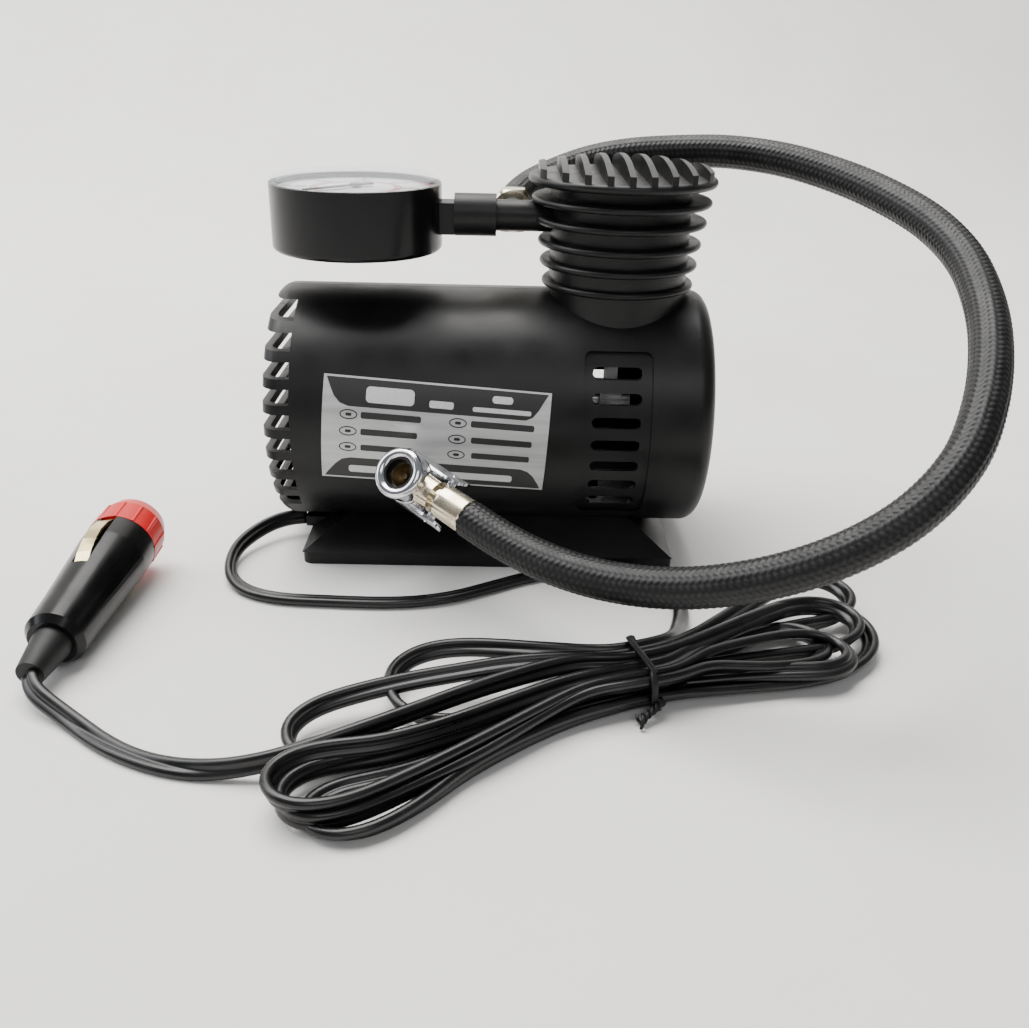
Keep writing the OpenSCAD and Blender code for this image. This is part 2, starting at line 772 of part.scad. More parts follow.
// Crank gear with its axle in one piece and an open seat for the crank pin
module crank_gear() {
    color("gray") difference() {
        union() {
            translate([gear_x[0], 0, crank_z]) rotate([90, 0, 90])
                linear_extrude(gear_x[1] - gear_x[0])
                    rotate(-90 + 180 / crank_teeth) gear_outline(crank_teeth, gear_m, 0.16);
            along_x(plate_x[0] + 0.3, 21, 3, 0, crank_z);
        }
        along_x(gear_x[1] - 3, 30, 1.6, 0, crank_z - throw);
        for (a = [-55, 55]) translate([0, 0, crank_z]) rotate([a, 0, 0])
            along_x(gear_x[0] - 1, 30, 3.4, 0, -10.2);
    }
}

module crank_pin() {
    color("silver") {
        along_x(gear_x[1] + 0.3, 43, 2.5, 0, crank_z - throw);
        along_x(rod_x[1] + 0.3, 44.6, 4.2, 0, crank_z - throw);
    }
}

module connecting_rod() {
    big_end = crank_z - throw;
    color("silver") difference() {
        union() {
            along_x(rod_x[0], rod_x[1], 6, 0, big_end);
            along_x(rod_x[0], rod_x[1], 3.6, 0, wrist_z);
            box([rod_x[0] + 1.5, rod_x[1] - 1.5], [-2.6, 2.6], [big_end + 3, wrist_z - 2]);
        }
        along_x(rod_x[0] - 1, rod_x[1] + 1, 2.53, 0, big_end);
        along_x(rod_x[0] - 1, rod_x[1] + 1, 2.04, 0, wrist_z);
    }
}

module wrist_pin() {
    color("silver") along_x(tower_x - 9.3, tower_x + 9.3, 2, 0, wrist_z);
}

module piston() {
    color("gainsboro") translate([tower_x, 0, wrist_z]) difference() {
        translate([0, 0, -6]) cylinder(r = bore_d / 2 - 0.06, h = 11.3, $fn = 96);
        translate([0, 0, 2.6]) ring_z(bore_d, bore_d / 2 - 1.2, 0, 1.5);
        translate([0, 0, -7]) difference() {
            cylinder(r = 7.4, h = 8.6);
            for (s = [-1, 1]) box([s * 6.5 - 2.2, s * 6.5 + 2.2], [-3.4, 3.4], [-1, 20]);
        }
        box([-4.2, 4.2], [-5.5, 5.5], [-8, 3.9]);
        along_x(-11, 11, 2.02, 0, 0);
    }
}

module piston_seal() {
    color("black") translate([tower_x, 0, wrist_z + 2.63])
        ring_z(bore_d / 2 - 0.03, bore_d / 2 - 1.18, 0, 1.44);
}

module cylinder_sleeve() {
    color("silver") translate([tower_x, 0, 0])
        ring_z(12, bore_d / 2, sleeve_z0, sleeve_z1);
}

module valve_plate() {
    color("silver") translate([tower_x, 0, sleeve_z1]) difference() {
        cylinder(r = flange_r, h = plate_z1 - sleeve_z1);
        translate([0, 0, -1]) cylinder(r = 1.5, h = 5);
        for (a = [45:90:315]) rotate(a) translate([head_bolt_r, 0, -1])
            cylinder(r = 1.6, h = 5);
    }
}

module outlet_valve() {
    color("black") translate([tower_x, 0, plate_z1]) {
        cylinder(r = 2.8, h = 1.6);
        cylinder(r = 1.2, h = 3);
    }
}

module valve_spring() {
    color("silver") translate([tower_x, 0, 0]) ring_z(2.6, 1.4, plate_z1 + 1.62, 107.5);
}

module cylinder_head() {
    color("gray") difference() {
        union() {
            translate([tower_x, 0, plate_z1]) {
                cylinder(r = flange_r, h = 4);
                cylinder(r = 11.6, h = 12);
                for (z = [6, 9]) translate([0, 0, z]) cylinder(r = 17, h = 1.6);
            }
            intersection() {
                along_x(20.52, 30, 5.8, 0, pipe_z);
                box([20, 31], [-8, 8], [plate_z1, 120]);
            }
        }
        translate([tower_x, 0, plate_z1 - 1]) cylinder(r = 2.9, h = 9.5);
        along_x(20, 26.6, 3.55, 0, pipe_z);
        along_x(20, tower_x, 1.8, 0, pipe_z);
        for (a = [45:90:315]) translate([tower_x, 0, plate_z1 - 1]) rotate(a)
            translate([head_bolt_r, 0, 0]) cylinder(r = 1.6, h = 6);
        for (a = [45:90:315]) translate([tower_x, 0, plate_z1 + 4]) rotate(a)
            translate([head_bolt_r, 0, 0]) cylinder(r = 2.9, h = 12);
    }
}

// Four cylinder head screws and two motor screws
module machine_screws() {
    color("gray") for (s = [-1, 1]) {
        along_x(7, 16.5, 1.4, s * 10, motor_z);
        along_x(plate_x[1] + 0.02, plate_x[1] + 2, 2.6, s * 10, motor_z);
    }
    color("gray") for (a = [45:90:315]) translate([tower_x, 0, 0]) rotate(a)
        translate([head_bolt_r, 0, 0]) {
            translate([0, 0, 90]) cylinder(r = 1.25, h = 14);
            translate([0, 0, plate_z1 + 4.02]) cylinder(r = 2.5, h = 2.2);
        }
}

module motor_leads() {
    color("red") for (s = [-1, 1])
        sweep(smooth([[-48, s * 10, motor_z - 0.5], [-48.2, s * 9.2 - 0.5, 27],
            [-48.4, s * 6.8 - 2.6, 21], [-48.6, s * 3.6 - 6.4, 15],
            [-48.8, s * 1.2 - 8.9, 10.5], [-48.9, s * 1.1 - 9.2, 9]], 3), 1.8, 1.8, 8);
}

module cord_grommet() {
    color("black") box([-60, -47], [-13.1, -6.9], [base_t, 7.35]);
}

module cord_lead() {
    color("black") sweep(smooth(lead_path, 2), cord_w, cord_t, 8);
}

module cord_tail() {
    color("black") sweep(smooth(tail_path, 2), cord_w, cord_t, 8);
}

module at_tie() {
    translate(tie_at) rotate(tie_turn) children();
}

module cord_hank() {
    color("black") difference() {
        linear_extrude(hank_h) polygon(closed(hank_outline, 3));
        at_tie() box([-tie_w / 2 - 0.1, tie_w / 2 + 0.1], [-20, 20], [-1, 1.3]);
    }
}

module twist_tie() {
    color("black") at_tie() difference() {
        box([-tie_w / 2, tie_w / 2], [-10.9, 10.9], [0, hank_h + 1.2]);
        box([-tie_w, tie_w], [-9.8, 9.8], [1.1, hank_h + 0.02]);
    }
}

module in_plug() {
    translate(plug_at) rotate(plug_turn) rotate([-90, 0, 0]) children();
}

module plug_body() {
    color("black") in_plug() difference() {
        rotate_extrude($fn = 96) polygon([[0, 0], [10, 0], [10, -8], [8.4, -34],
            [8, -plug_len + 2], [6.5, -plug_len], [0, -plug_len]]);
        translate([0, 0, -plug_len - 1]) cylinder(r = 2.7, h = 16);
        translate([0, 0, -36]) cylinder(r = 4.2, h = 40);
        for (s = [0, 180]) rotate(s + 80) box([5.9, 12], [-2.3, 2.3], [-22, 1]);
    }
}

module plug_collar() {
    color("red") in_plug() difference() {
        union() {
            rotate_extrude($fn = 96) polygon([[0, 0.02], [10.1, 0.02], [9.9, 8.6],
                [8.6, 12.6], [0, 12.6]]);
            for (i = [0:11]) rotate(30 * i) translate([9.7, 0, 0.02])
                cylinder(r = 0.6, h = 8);
        }
        translate([0, 0, -1]) cylinder(r = 3.9, h = 12);
        translate([0, 0, 10]) cylinder(r = 2.8, h = 4);
    }
}

module plug_tip() {
    color("silver") in_plug() {
        translate([0, 0, 6.6]) cylinder(r = 3.8, h = 4.3);
        translate([0, 0, 6.6]) cylinder(r = 2.7, h = 8.4);
        translate([0, 0, 15]) sphere(2.7, $fn = 32);
    }
}

// Sprung side contact, bowed outwards from its root behind the collar
module side_contact(turn) {
    color("gold") in_plug() rotate(turn) translate([0, 2, 0]) rotate([90, 0, 0])
        linear_extrude(4)
            polygon([[7.3, -21.5], [8.1, -21.5], [9.6, -18], [10.9, -13], [11.4, -9],
                [11, -5], [9.8, -1.5], [8, -1.5], [8, -2.5], [9.2, -2.5], [10.2, -5.4],
                [10.6, -9], [10.1, -12.8], [8.8, -17.6], [7.3, -20.5]]);
}

module plug_contact_left() {
    side_contact(260);
}

module plug_contact_right() {
    side_contact(80);
}

module plug_boot() {
    color("black") in_plug() difference() {
        union() {
            translate([0, 0, -plug_len - 12.5]) rotate_extrude($fn = 64)
                polygon([[0, 0], [3.6, 0], [4.8, 9.5], [5.2, 12.48], [0, 12.48]]);
            translate([0, 0, -plug_len - 1]) cylinder(r = 2.65, h = 14);
        }
    }
}

front_housing();
rear_housing();
base_foot();
label_plate();
case_screws();
gauge_case();
gauge_lens();
gauge_dial();
gauge_needle();
gauge_sector();
gauge_movement();
bourdon_tube();
gauge_stem();
collar_nut();
outlet_manifold();
hose_nut();
hose();
hose_ferrule();
chuck_body();
chuck_head();
chuck_seal();
chuck_plunger();
chuck_lever();
chuck_pivot_pin();
motor_can();
motor_magnets();
motor_end_cap();
motor_brushes();
motor_bushes();
motor_shaft();
armature_core();
armature_windings();
commutator();
motor_pinion();
crankcase();
crank_bush();
crank_gear();
crank_pin();
connecting_rod();
wrist_pin();
piston();
piston_seal();
cylinder_sleeve();
valve_plate();
outlet_valve();
valve_spring();
cylinder_head();
machine_screws();
motor_leads();
cord_grommet();
cord_lead();
cord_hank();
cord_tail();
twist_tie();
plug_body();
plug_collar();
plug_tip();
plug_contact_left();
plug_contact_right();
plug_boot();
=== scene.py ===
"""Looks of a portable 12 V tyre inflator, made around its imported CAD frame.

Everything is in the CAD's own frame: +X along the body, -Y the labelled front, Z = 0 the floor.
Lengths in this file are millimetres until they reach Blender, which works in metres. Only the lights
are given in metres.
"""

import json
import math

import bmesh
import bpy
from mathutils import Matrix, Vector


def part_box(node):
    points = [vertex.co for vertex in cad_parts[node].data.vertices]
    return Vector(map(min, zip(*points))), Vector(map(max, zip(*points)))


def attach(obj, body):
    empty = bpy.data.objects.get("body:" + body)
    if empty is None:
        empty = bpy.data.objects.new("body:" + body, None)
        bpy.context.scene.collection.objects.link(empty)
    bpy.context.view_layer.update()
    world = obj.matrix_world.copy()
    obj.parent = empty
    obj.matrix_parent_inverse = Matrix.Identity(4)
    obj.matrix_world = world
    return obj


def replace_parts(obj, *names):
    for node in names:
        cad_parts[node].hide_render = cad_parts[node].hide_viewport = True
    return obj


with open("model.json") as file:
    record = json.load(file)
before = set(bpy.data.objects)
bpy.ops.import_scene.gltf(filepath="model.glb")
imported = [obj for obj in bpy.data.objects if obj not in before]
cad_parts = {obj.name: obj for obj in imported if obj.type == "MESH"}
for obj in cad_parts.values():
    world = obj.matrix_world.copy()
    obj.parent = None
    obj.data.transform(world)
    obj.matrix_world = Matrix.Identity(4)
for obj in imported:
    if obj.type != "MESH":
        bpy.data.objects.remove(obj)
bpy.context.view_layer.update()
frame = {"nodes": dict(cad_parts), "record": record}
MM = 0.001
ROOT = "compressor"


# ---------------------------------------------------------------- camera

CAMERA_AT = (4.8, -314.8, 150.7)
CAMERA_YAW = math.radians(0.68)
CAMERA_PITCH = math.radians(25.06)
CAMERA_ROLL = math.radians(1.39)
CAMERA_LENS = 35.51
CAMERA_SENSOR = 36


def add_camera():
    forward = Vector((
        math.sin(CAMERA_YAW) * math.cos(CAMERA_PITCH),
        math.cos(CAMERA_YAW) * math.cos(CAMERA_PITCH),
        -math.sin(CAMERA_PITCH),
    ))
    level = Vector((math.cos(CAMERA_YAW), -math.sin(CAMERA_YAW), 0))
    down = forward.cross(level)
    right = math.cos(CAMERA_ROLL) * level - math.sin(CAMERA_ROLL) * down
    low = math.sin(CAMERA_ROLL) * level + math.cos(CAMERA_ROLL) * down
    data = bpy.data.cameras.new("camera")
    data.lens = CAMERA_LENS
    data.sensor_width = CAMERA_SENSOR
    data.clip_start = 0.01
    camera = bpy.data.objects.new("camera", data)
    turn = Matrix((right, -low, -forward)).transposed()
    camera.matrix_world = Matrix.Translation(Vector(CAMERA_AT) * MM) @ turn.to_4x4()
    bpy.context.scene.collection.objects.link(camera)
    bpy.context.scene.camera = camera


add_camera()


# ---------------------------------------------------------------- meshes

UV_PER_MM = 0.01  # how far a swept tube's UVs advance along its line


def new_piece(name, vertices, faces, body=ROOT, uvs=None, smooth=True):
    """A mesh object from points in millimetres, riding on a body. uvs has one pair per face corner."""
    mesh = bpy.data.meshes.new(name)
    mesh.from_pydata([Vector(v) * MM for v in vertices], [], faces)
    if uvs:
        layer = mesh.uv_layers.new(name="UVMap")
        for loop, uv in zip(layer.data, uvs):
            loop.uv = uv
    for face in mesh.polygons:
        face.use_smooth = smooth
    mesh.update()
    piece = bpy.data.objects.new(name, mesh)
    bpy.context.scene.collection.objects.link(piece)
    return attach(piece, body)


def finish_piece(piece, material, edge=None, fix_normals=True):
    """Gives a piece its material, and a sharp-edge angle in degrees where it has edges."""
    if fix_normals:
        work = bmesh.new()
        work.from_mesh(piece.data)
        bmesh.ops.recalc_face_normals(work, faces=work.faces)
        work.to_mesh(piece.data)
        work.free()
    if edge:
        piece.data.set_sharp_from_angle(angle=math.radians(edge))
    piece.data.materials.clear()
    piece.data.materials.append(material)
    return piece


def catmull(points, per_span):
    """A smooth line through the points, the same one that the CAD source draws."""
    ends = [2 * points[0] - points[1]] + points + [2 * points[-1] - points[-2]]
    line = []
    for i in range(1, len(ends) - 2):
        before, a, b, after = ends[i - 1 : i + 3]
        for k in range(per_span):
            t = k / per_span
            line.append(0.5 * (
                2 * a + (b - before) * t
                + (2 * before - 5 * a + 4 * b - after) * t ** 2
                + (3 * a - before - 3 * b + after) * t ** 3
            ))
    return line + [points[-1]]


def even(line, step):
    """The same line with points a step apart, and its length."""
    reach = [0.0]
    for a, b in zip(line, line[1:]):
        reach.append(reach[-1] + (b - a).length)
    count = round(reach[-1] / step)
    result, i = [], 0
    for k in range(count + 1):
        s = min(reach[-1] * k / count, reach[-1])
        while i < len(line) - 2 and reach[i + 1] < s:
            i += 1
        share = (s - reach[i]) / (reach[i + 1] - reach[i])
        result.append(line[i].lerp(line[i + 1], min(max(share, 0), 1)))
    return result, reach[-1]


def relax(line, rounds):
    """Evens out a line's bends, with its ends held."""
    for _ in range(rounds):
        middle = [a * 0.25 + b * 0.5 + c * 0.25 for a, b, c in zip(line, line[1:], line[2:])]
        line = [line[0]] + middle + [line[-1]]
    return line


def headings(line):
    last = len(line) - 1
    return [(line[min(i + 1, last)] - line[max(i - 1, 0)]).normalized() for i in range(last + 1)]


def carried_frames(line, start):
    """Side and up directions carried along a line without twist."""
    frames = []
    side = Vector(start)
    for ahead in headings(line):
        side = (side - ahead * side.dot(ahead)).normalized()
        frames.append((side.copy(), ahead.cross(side)))
    return frames


def swept(name, line, frames, outline):
    """A closed tube whose cross-section, a list of (side, up) pairs, follows a line."""
    sides = len(outline)
    vertices = [
        p + side * u + up * v
        for p, (side, up) in zip(line, frames)
        for u, v in outline
    ]
    faces, uvs, reach = [], [], 0.0
    for i in range(len(line) - 1):
        ahead = reach + (line[i + 1] - line[i]).length
        for k in range(sides):
            n = (k + 1) % sides
            faces.append((i * sides + k, i * sides + n, (i + 1) * sides + n, (i + 1) * sides + k))
            left, right = k / sides, (k + 1) / sides
            low, high = reach * UV_PER_MM, ahead * UV_PER_MM
            uvs += [(left, low), (right, low), (right, high), (left, high)]
        reach = ahead
    for ring, first in ((range(sides - 1, -1, -1), 0), (range(sides), (len(line) - 1) * sides)):
        faces.append([first + k for k in ring])
        uvs += [(0, 0)] * sides
    return new_piece(name, vertices, faces, uvs=uvs)


def turned_ring(name, profile, turn, place, sides, facets):
    """A ring of revolution from (radius, height) pairs, its radius scaled by facets(angle, height)."""
    vertices, faces = [], []
    for r, z in profile:
        for k in range(sides):
            a = 2 * math.pi * k / sides
            reach = r * facets(a, z)
            vertices.append(place + turn @ Vector((reach * math.cos(a), reach * math.sin(a), z)))
    rows = len(profile)
    for i in range(rows):
        j = (i + 1) % rows
        for k in range(sides):
            n = (k + 1) % sides
            faces.append((i * sides + k, i * sides + n, j * sides + n, j * sides + k))
    return new_piece(name, vertices, faces)


# ---------------------------------------------------------------- materials

NOISE_MIDDLE = (0.3, 0.7)  # the part of a noise's range that nearly all of its values fall in


class Shade:
    """A procedural material: Principled with node-made variation on the inputs that vary."""

    def __init__(self, name, **constants):
        self.material = bpy.data.materials.new(name)
        self.material.use_nodes = True
        self.nodes = self.material.node_tree.nodes
        self.links = self.material.node_tree.links
        self.shader = self.nodes["Principled BSDF"]
        self.place = self.nodes.new("ShaderNodeTexCoord").outputs["Object"]
        self.normal = None
        for key, value in constants.items():
            self.shader.inputs[key.replace("_", " ")].default_value = value

    def stretched(self, scale, source=None):
        node = self.nodes.new("ShaderNodeMapping")
        node.inputs["Scale"].default_value = scale
        self.links.new(source or self.place, node.inputs["Vector"])
        return node.outputs["Vector"]

    def uv(self, scale=(1, 1, 1)):
        node = self.nodes.new("ShaderNodeUVMap")
        node.uv_map = "UVMap"
        return self.stretched(scale, node.outputs["UV"])

    def noise(self, size, detail=3.0, rough=0.5, source=None):
        """Noise from 0 to 1 with features about size millimetres across."""
        node = self.nodes.new("ShaderNodeTexNoise")
        node.inputs["Scale"].default_value = 1 / (size * MM)
        node.inputs["Detail"].default_value = detail
        node.inputs["Roughness"].default_value = rough
        self.links.new(source or self.place, node.inputs["Vector"])
        return node.outputs["Fac"]

    def attribute(self, name):
        node = self.nodes.new("ShaderNodeAttribute")
        node.attribute_name = name
        return node.outputs["Fac"]

    def math(self, operation, a, b):
        node = self.nodes.new("ShaderNodeMath")
        node.operation = operation
        for value, socket in ((a, node.inputs[0]), (b, node.inputs[1])):
            if isinstance(value, (int, float)):
                socket.default_value = value
            else:
                self.links.new(value, socket)
        return node.outputs[0]

    def spread(self, fac, low, high):
        """Turns a noise into values from low to high."""
        node = self.nodes.new("ShaderNodeMapRange")
        start, stop = NOISE_MIDDLE
        for key, value in (("From Min", start), ("From Max", stop), ("To Min", low), ("To Max", high)):
            node.inputs[key].default_value = value
        self.links.new(fac, node.inputs["Value"])
        return node.outputs["Result"]

    def colours(self, fac, *stops):
        """A colour ramp from (position, colour) pairs."""
        node = self.nodes.new("ShaderNodeValToRGB")
        ramp = node.color_ramp
        while len(ramp.elements) < len(stops):
            ramp.elements.new(0.5)
        for element, (position, colour) in zip(ramp.elements, stops):
            element.position = position
            element.color = (*colour, 1)
        self.links.new(fac, node.inputs["Fac"])
        self.links.new(node.outputs["Color"], self.shader.inputs["Base Color"])
        return self

    def rough(self, fac, low, high):
        self.links.new(self.spread(fac, low, high), self.shader.inputs["Roughness"])
        return self

    def bump(self, height, depth):
        """Adds relief with a depth in millimetres."""
        node = self.nodes.new("ShaderNodeBump")
        node.inputs["Distance"].default_value = depth * MM
        node.inputs["Strength"].default_value = 1.0
        self.links.new(height, node.inputs["Height"])
        if self.normal:
            self.links.new(self.normal, node.inputs["Normal"])
        self.normal = node.outputs["Normal"]
        self.links.new(self.normal, self.shader.inputs["Normal"])
        return self


def moulded(name, dark, light, low, high, grain=0.35, depth=0.012, gloss=0.5):
    """Moulded plastic with a fine spark-eroded grain, faint smears and handling marks."""
    shade = Shade(name, Specular_IOR_Level=gloss)
    smears = shade.noise(14, detail=4, source=shade.stretched((1, 1, 0.45)))
    marks = shade.noise(2.2, detail=5, rough=0.65)
    shade.colours(smears, (0.3, dark), (0.75, light))
    shade.rough(smears, low, high)
    shade.bump(shade.noise(grain, detail=2), depth)
    shade.bump(marks, depth * 1.2)
    return shade.material


def metal(name, colour, worn, low, high, brush=None, depth=0.002):
    """Metal with fine tool lines along one axis, and duller, darker patches."""
    shade = Shade(name, Metallic=1.0)
    patches = shade.noise(7, detail=4, rough=0.5)
    shade.colours(patches, (0.22, worn), (0.5, colour))
    shade.rough(patches, high, low)
    lines = shade.stretched(brush) if brush else shade.place
    shade.bump(shade.noise(0.35, detail=3, source=lines), depth)
    return shade.material


def rubber(name, colour, low, high):
    """Rubber with a coarse matt grain and faint smears."""
    shade = Shade(name, Specular_IOR_Level=0.3)
    smears = shade.noise(9, detail=4)
    shade.colours(smears, (0.3, tuple(0.6 * c for c in colour)), (0.8, tuple(1.6 * c for c in colour)))
    shade.rough(smears, low, high)
    shade.bump(shade.noise(0.5, detail=2), 0.02)
    return shade.material


def braid_material():
    """Black nylon yarn with fine filaments; its colour is painted shade between the strands and a painted
    highlight on their crests.
    """
    shade = Shade("hose_braid", Specular_IOR_Level=0.32)
    crest = shade.attribute("crest")
    worn = shade.noise(6, detail=4)
    painted_crest_light = shade.math("MULTIPLY", crest, shade.spread(worn, 0.7, 1.0))
    # Painted shade and painted highlight: near black where a strand lies low, paler where it rides high,
    # times random wear.
    shade.colours(
        painted_crest_light,
        (0.25, (0.0015, 0.0015, 0.0016)), (0.62, (0.005, 0.005, 0.0053)), (0.95, (0.02, 0.02, 0.021)),
    )
    shade.rough(worn, 0.4, 0.54)
    filaments = shade.noise(160, detail=2, source=shade.uv((1.0, 0.04, 1)))
    shade.bump(filaments, 0.05)
    return shade.material


def cord_material():
    """Soft black PVC with faint drawing lines along the cord and a dusty bloom."""
    shade = Shade("cord_pvc", Specular_IOR_Level=0.42)
    bloom = shade.noise(11, detail=5, rough=0.6)
    shade.colours(bloom, (0.3, (0.0025, 0.0025, 0.0027)), (0.75, (0.008, 0.008, 0.0083)))
    shade.rough(bloom, 0.26, 0.4)
    shade.bump(shade.noise(900, detail=2, source=shade.uv((14, 0.05, 1))), 0.03)
    shade.bump(shade.noise(0.5, detail=2), 0.012)
    return shade.material


def foil_material():
    """Brushed silver label foil."""
    shade = Shade("label_silver", Metallic=0.25)
    streaks = shade.noise(2.2, detail=4, source=shade.stretched((0.08, 1, 1)))
    shade.colours(streaks, (0.3, (0.46, 0.47, 0.46)), (0.7, (0.62, 0.63, 0.62)))
    shade.rough(streaks, 0.34, 0.46)
    shade.bump(shade.noise(0.3, detail=2, source=shade.stretched((0.05, 1, 1))), 0.004)
    return shade.material


def lens_material():
    """A clear lens as a mostly see-through surface, so that the dial shows under its gloss."""
    shade = Shade("clear_lens", IOR=1.3, Base_Color=(0.9, 0.95, 1.0, 1), Alpha=0.14)
    shade.rough(shade.noise(12, detail=5, rough=0.7), 0.03, 0.12)
    return shade.material


def printed(name, colour):
    """Screen-printed ink."""
    shade = Shade(name)
    grain = shade.noise(0.8, detail=4, rough=0.6)
    shade.colours(grain, (0.3, tuple(0.85 * c for c in colour)), (0.7, colour))
    shade.rough(grain, 0.35, 0.5)
    return shade.material


def wound(name, colour):
    """Enamelled copper wire, laid in turns."""
    shade = Shade(name, Metallic=1.0)
    turns = shade.noise(0.9, detail=2, source=shade.stretched((0.15, 1, 1)))
    shade.colours(turns, (0.35, tuple(0.4 * c for c in colour)), (0.6, colour))
    shade.rough(turns, 0.28, 0.42)
    shade.bump(turns, 0.12)
    return shade.material


LOOKS = {
    "black_abs": moulded("black_abs", (0.004, 0.004, 0.0042), (0.009, 0.009, 0.0092), 0.34, 0.46, gloss=0.28),
    "gloss_black": moulded(
        "gloss_black", (0.003, 0.003, 0.0033), (0.006, 0.006, 0.0064), 0.15, 0.27, 0.8, 0.003, 0.24),
    "label_silver": foil_material(),
    "zinc_steel": metal("zinc_steel", (0.55, 0.55, 0.53), (0.35, 0.35, 0.34), 0.3, 0.5),
    "clear_lens": lens_material(),
    "dial_white": printed("dial_white", (0.82, 0.82, 0.8)),
    "needle_black": printed("needle_black", (0.02, 0.02, 0.02)),
    # Coloured far darker than real brass: painted shade, so the plunger in the chuck's dark mouth reads as
    # shadow.
    "brass": metal("brass", (0.11, 0.078, 0.04), (0.05, 0.035, 0.02), 0.35, 0.55),
    "nickel_brass": metal("nickel_brass", (0.78, 0.69, 0.52), (0.56, 0.48, 0.34), 0.14, 0.3, depth=0.001),
    "chrome": metal("chrome", (0.78, 0.78, 0.8), (0.62, 0.62, 0.64), 0.08, 0.2, depth=0.0006),
    "hose_braid": braid_material(),
    "black_rubber": rubber("black_rubber", (0.006, 0.006, 0.006), 0.42, 0.6),
    "cord_pvc": cord_material(),
    "ferrite": moulded("ferrite", (0.06, 0.06, 0.065), (0.1, 0.1, 0.11), 0.45, 0.7, 0.5, 0.03),
    "bakelite": moulded("bakelite", (0.03, 0.02, 0.018), (0.06, 0.045, 0.04), 0.3, 0.5),
    "carbon": moulded("carbon", (0.02, 0.02, 0.02), (0.05, 0.05, 0.05), 0.4, 0.6, 0.4, 0.03),
    "steel": metal("steel", (0.56, 0.57, 0.58), (0.4, 0.4, 0.42), 0.2, 0.38, (0.1, 1, 1)),
    "core_steel": metal("core_steel", (0.3, 0.3, 0.31), (0.18, 0.17, 0.17), 0.35, 0.55, (4, 0.2, 0.2), 0.05),
    "copper": wound("copper", (0.62, 0.26, 0.12)),
    "die_cast": metal("die_cast", (0.55, 0.55, 0.56), (0.38, 0.38, 0.39), 0.4, 0.6, depth=0.03),
    "aluminium": metal("aluminium", (0.7, 0.7, 0.71), (0.5, 0.5, 0.52), 0.25, 0.42, (1, 1, 6), 0.01),
    "sinter": metal("sinter", (0.3, 0.27, 0.23), (0.18, 0.16, 0.14), 0.45, 0.65, depth=0.03),
    "wire_red": moulded("wire_red", (0.38, 0.02, 0.015), (0.5, 0.03, 0.02), 0.35, 0.5),
    "plug_red": moulded("plug_red", (0.46, 0.01, 0.01), (0.6, 0.016, 0.014), 0.26, 0.4, 0.6, 0.006, 0.25),
    "gold_contact": metal("gold_contact", (0.8, 0.66, 0.36), (0.6, 0.46, 0.22), 0.16, 0.32, (1, 1, 5)),
}
SMOOTH_UP_TO = 32  # degrees

for part in frame["record"]["subparts"]:
    node = frame["nodes"][part["node"]]
    node.data.materials.clear()
    node.data.materials.append(LOOKS[part["material_slot"]])
    for face in node.data.polygons:
        face.use_smooth = True
    node.data.set_sharp_from_angle(angle=math.radians(SMOOTH_UP_TO))


# ---------------------------------------------------------------- braided hose

HOSE_PATH = [  # the same points as hose_path in part.scad
    (5.8, 18.2, 102.9), (5.9, 22, 103), (7, 28, 104), (12, 37, 107), (21, 43, 110.5), (32, 46, 114),
    (44, 45, 116.5), (58, 42, 118), (75, 35, 119), (91, 25, 118), (105, 12, 115), (116, -4, 111),
    (124, -21, 106), (128, -38, 99.5), (127, -57, 91.5), (123, -74, 83.5), (117, -89, 75),
    (109, -101, 66), (97, -109, 56.5), (83, -111, 47.5), (67, -108, 39), (50, -102, 32.5),
    (34, -94, 29), (19, -85, 28.5), (6, -75, 30), (-4.9, -66.5, 33.2),
]
HOSE_D = 10.5
HOSE_STEP = 1.0
SPAN_STEPS = 12  # points made between two of the path's
YARNS = 20  # strands in each direction
YARN_LEAD = 34  # length of one turn of a strand round the hose
YARN_CUTS = (0.07, 0.5, 0.93)  # where points lie across a strand
YARN_LIFT = 0.17  # how far a strand rises and falls as it passes over and under
YARN_CROWN = 0.16  # how much higher a strand is along its middle


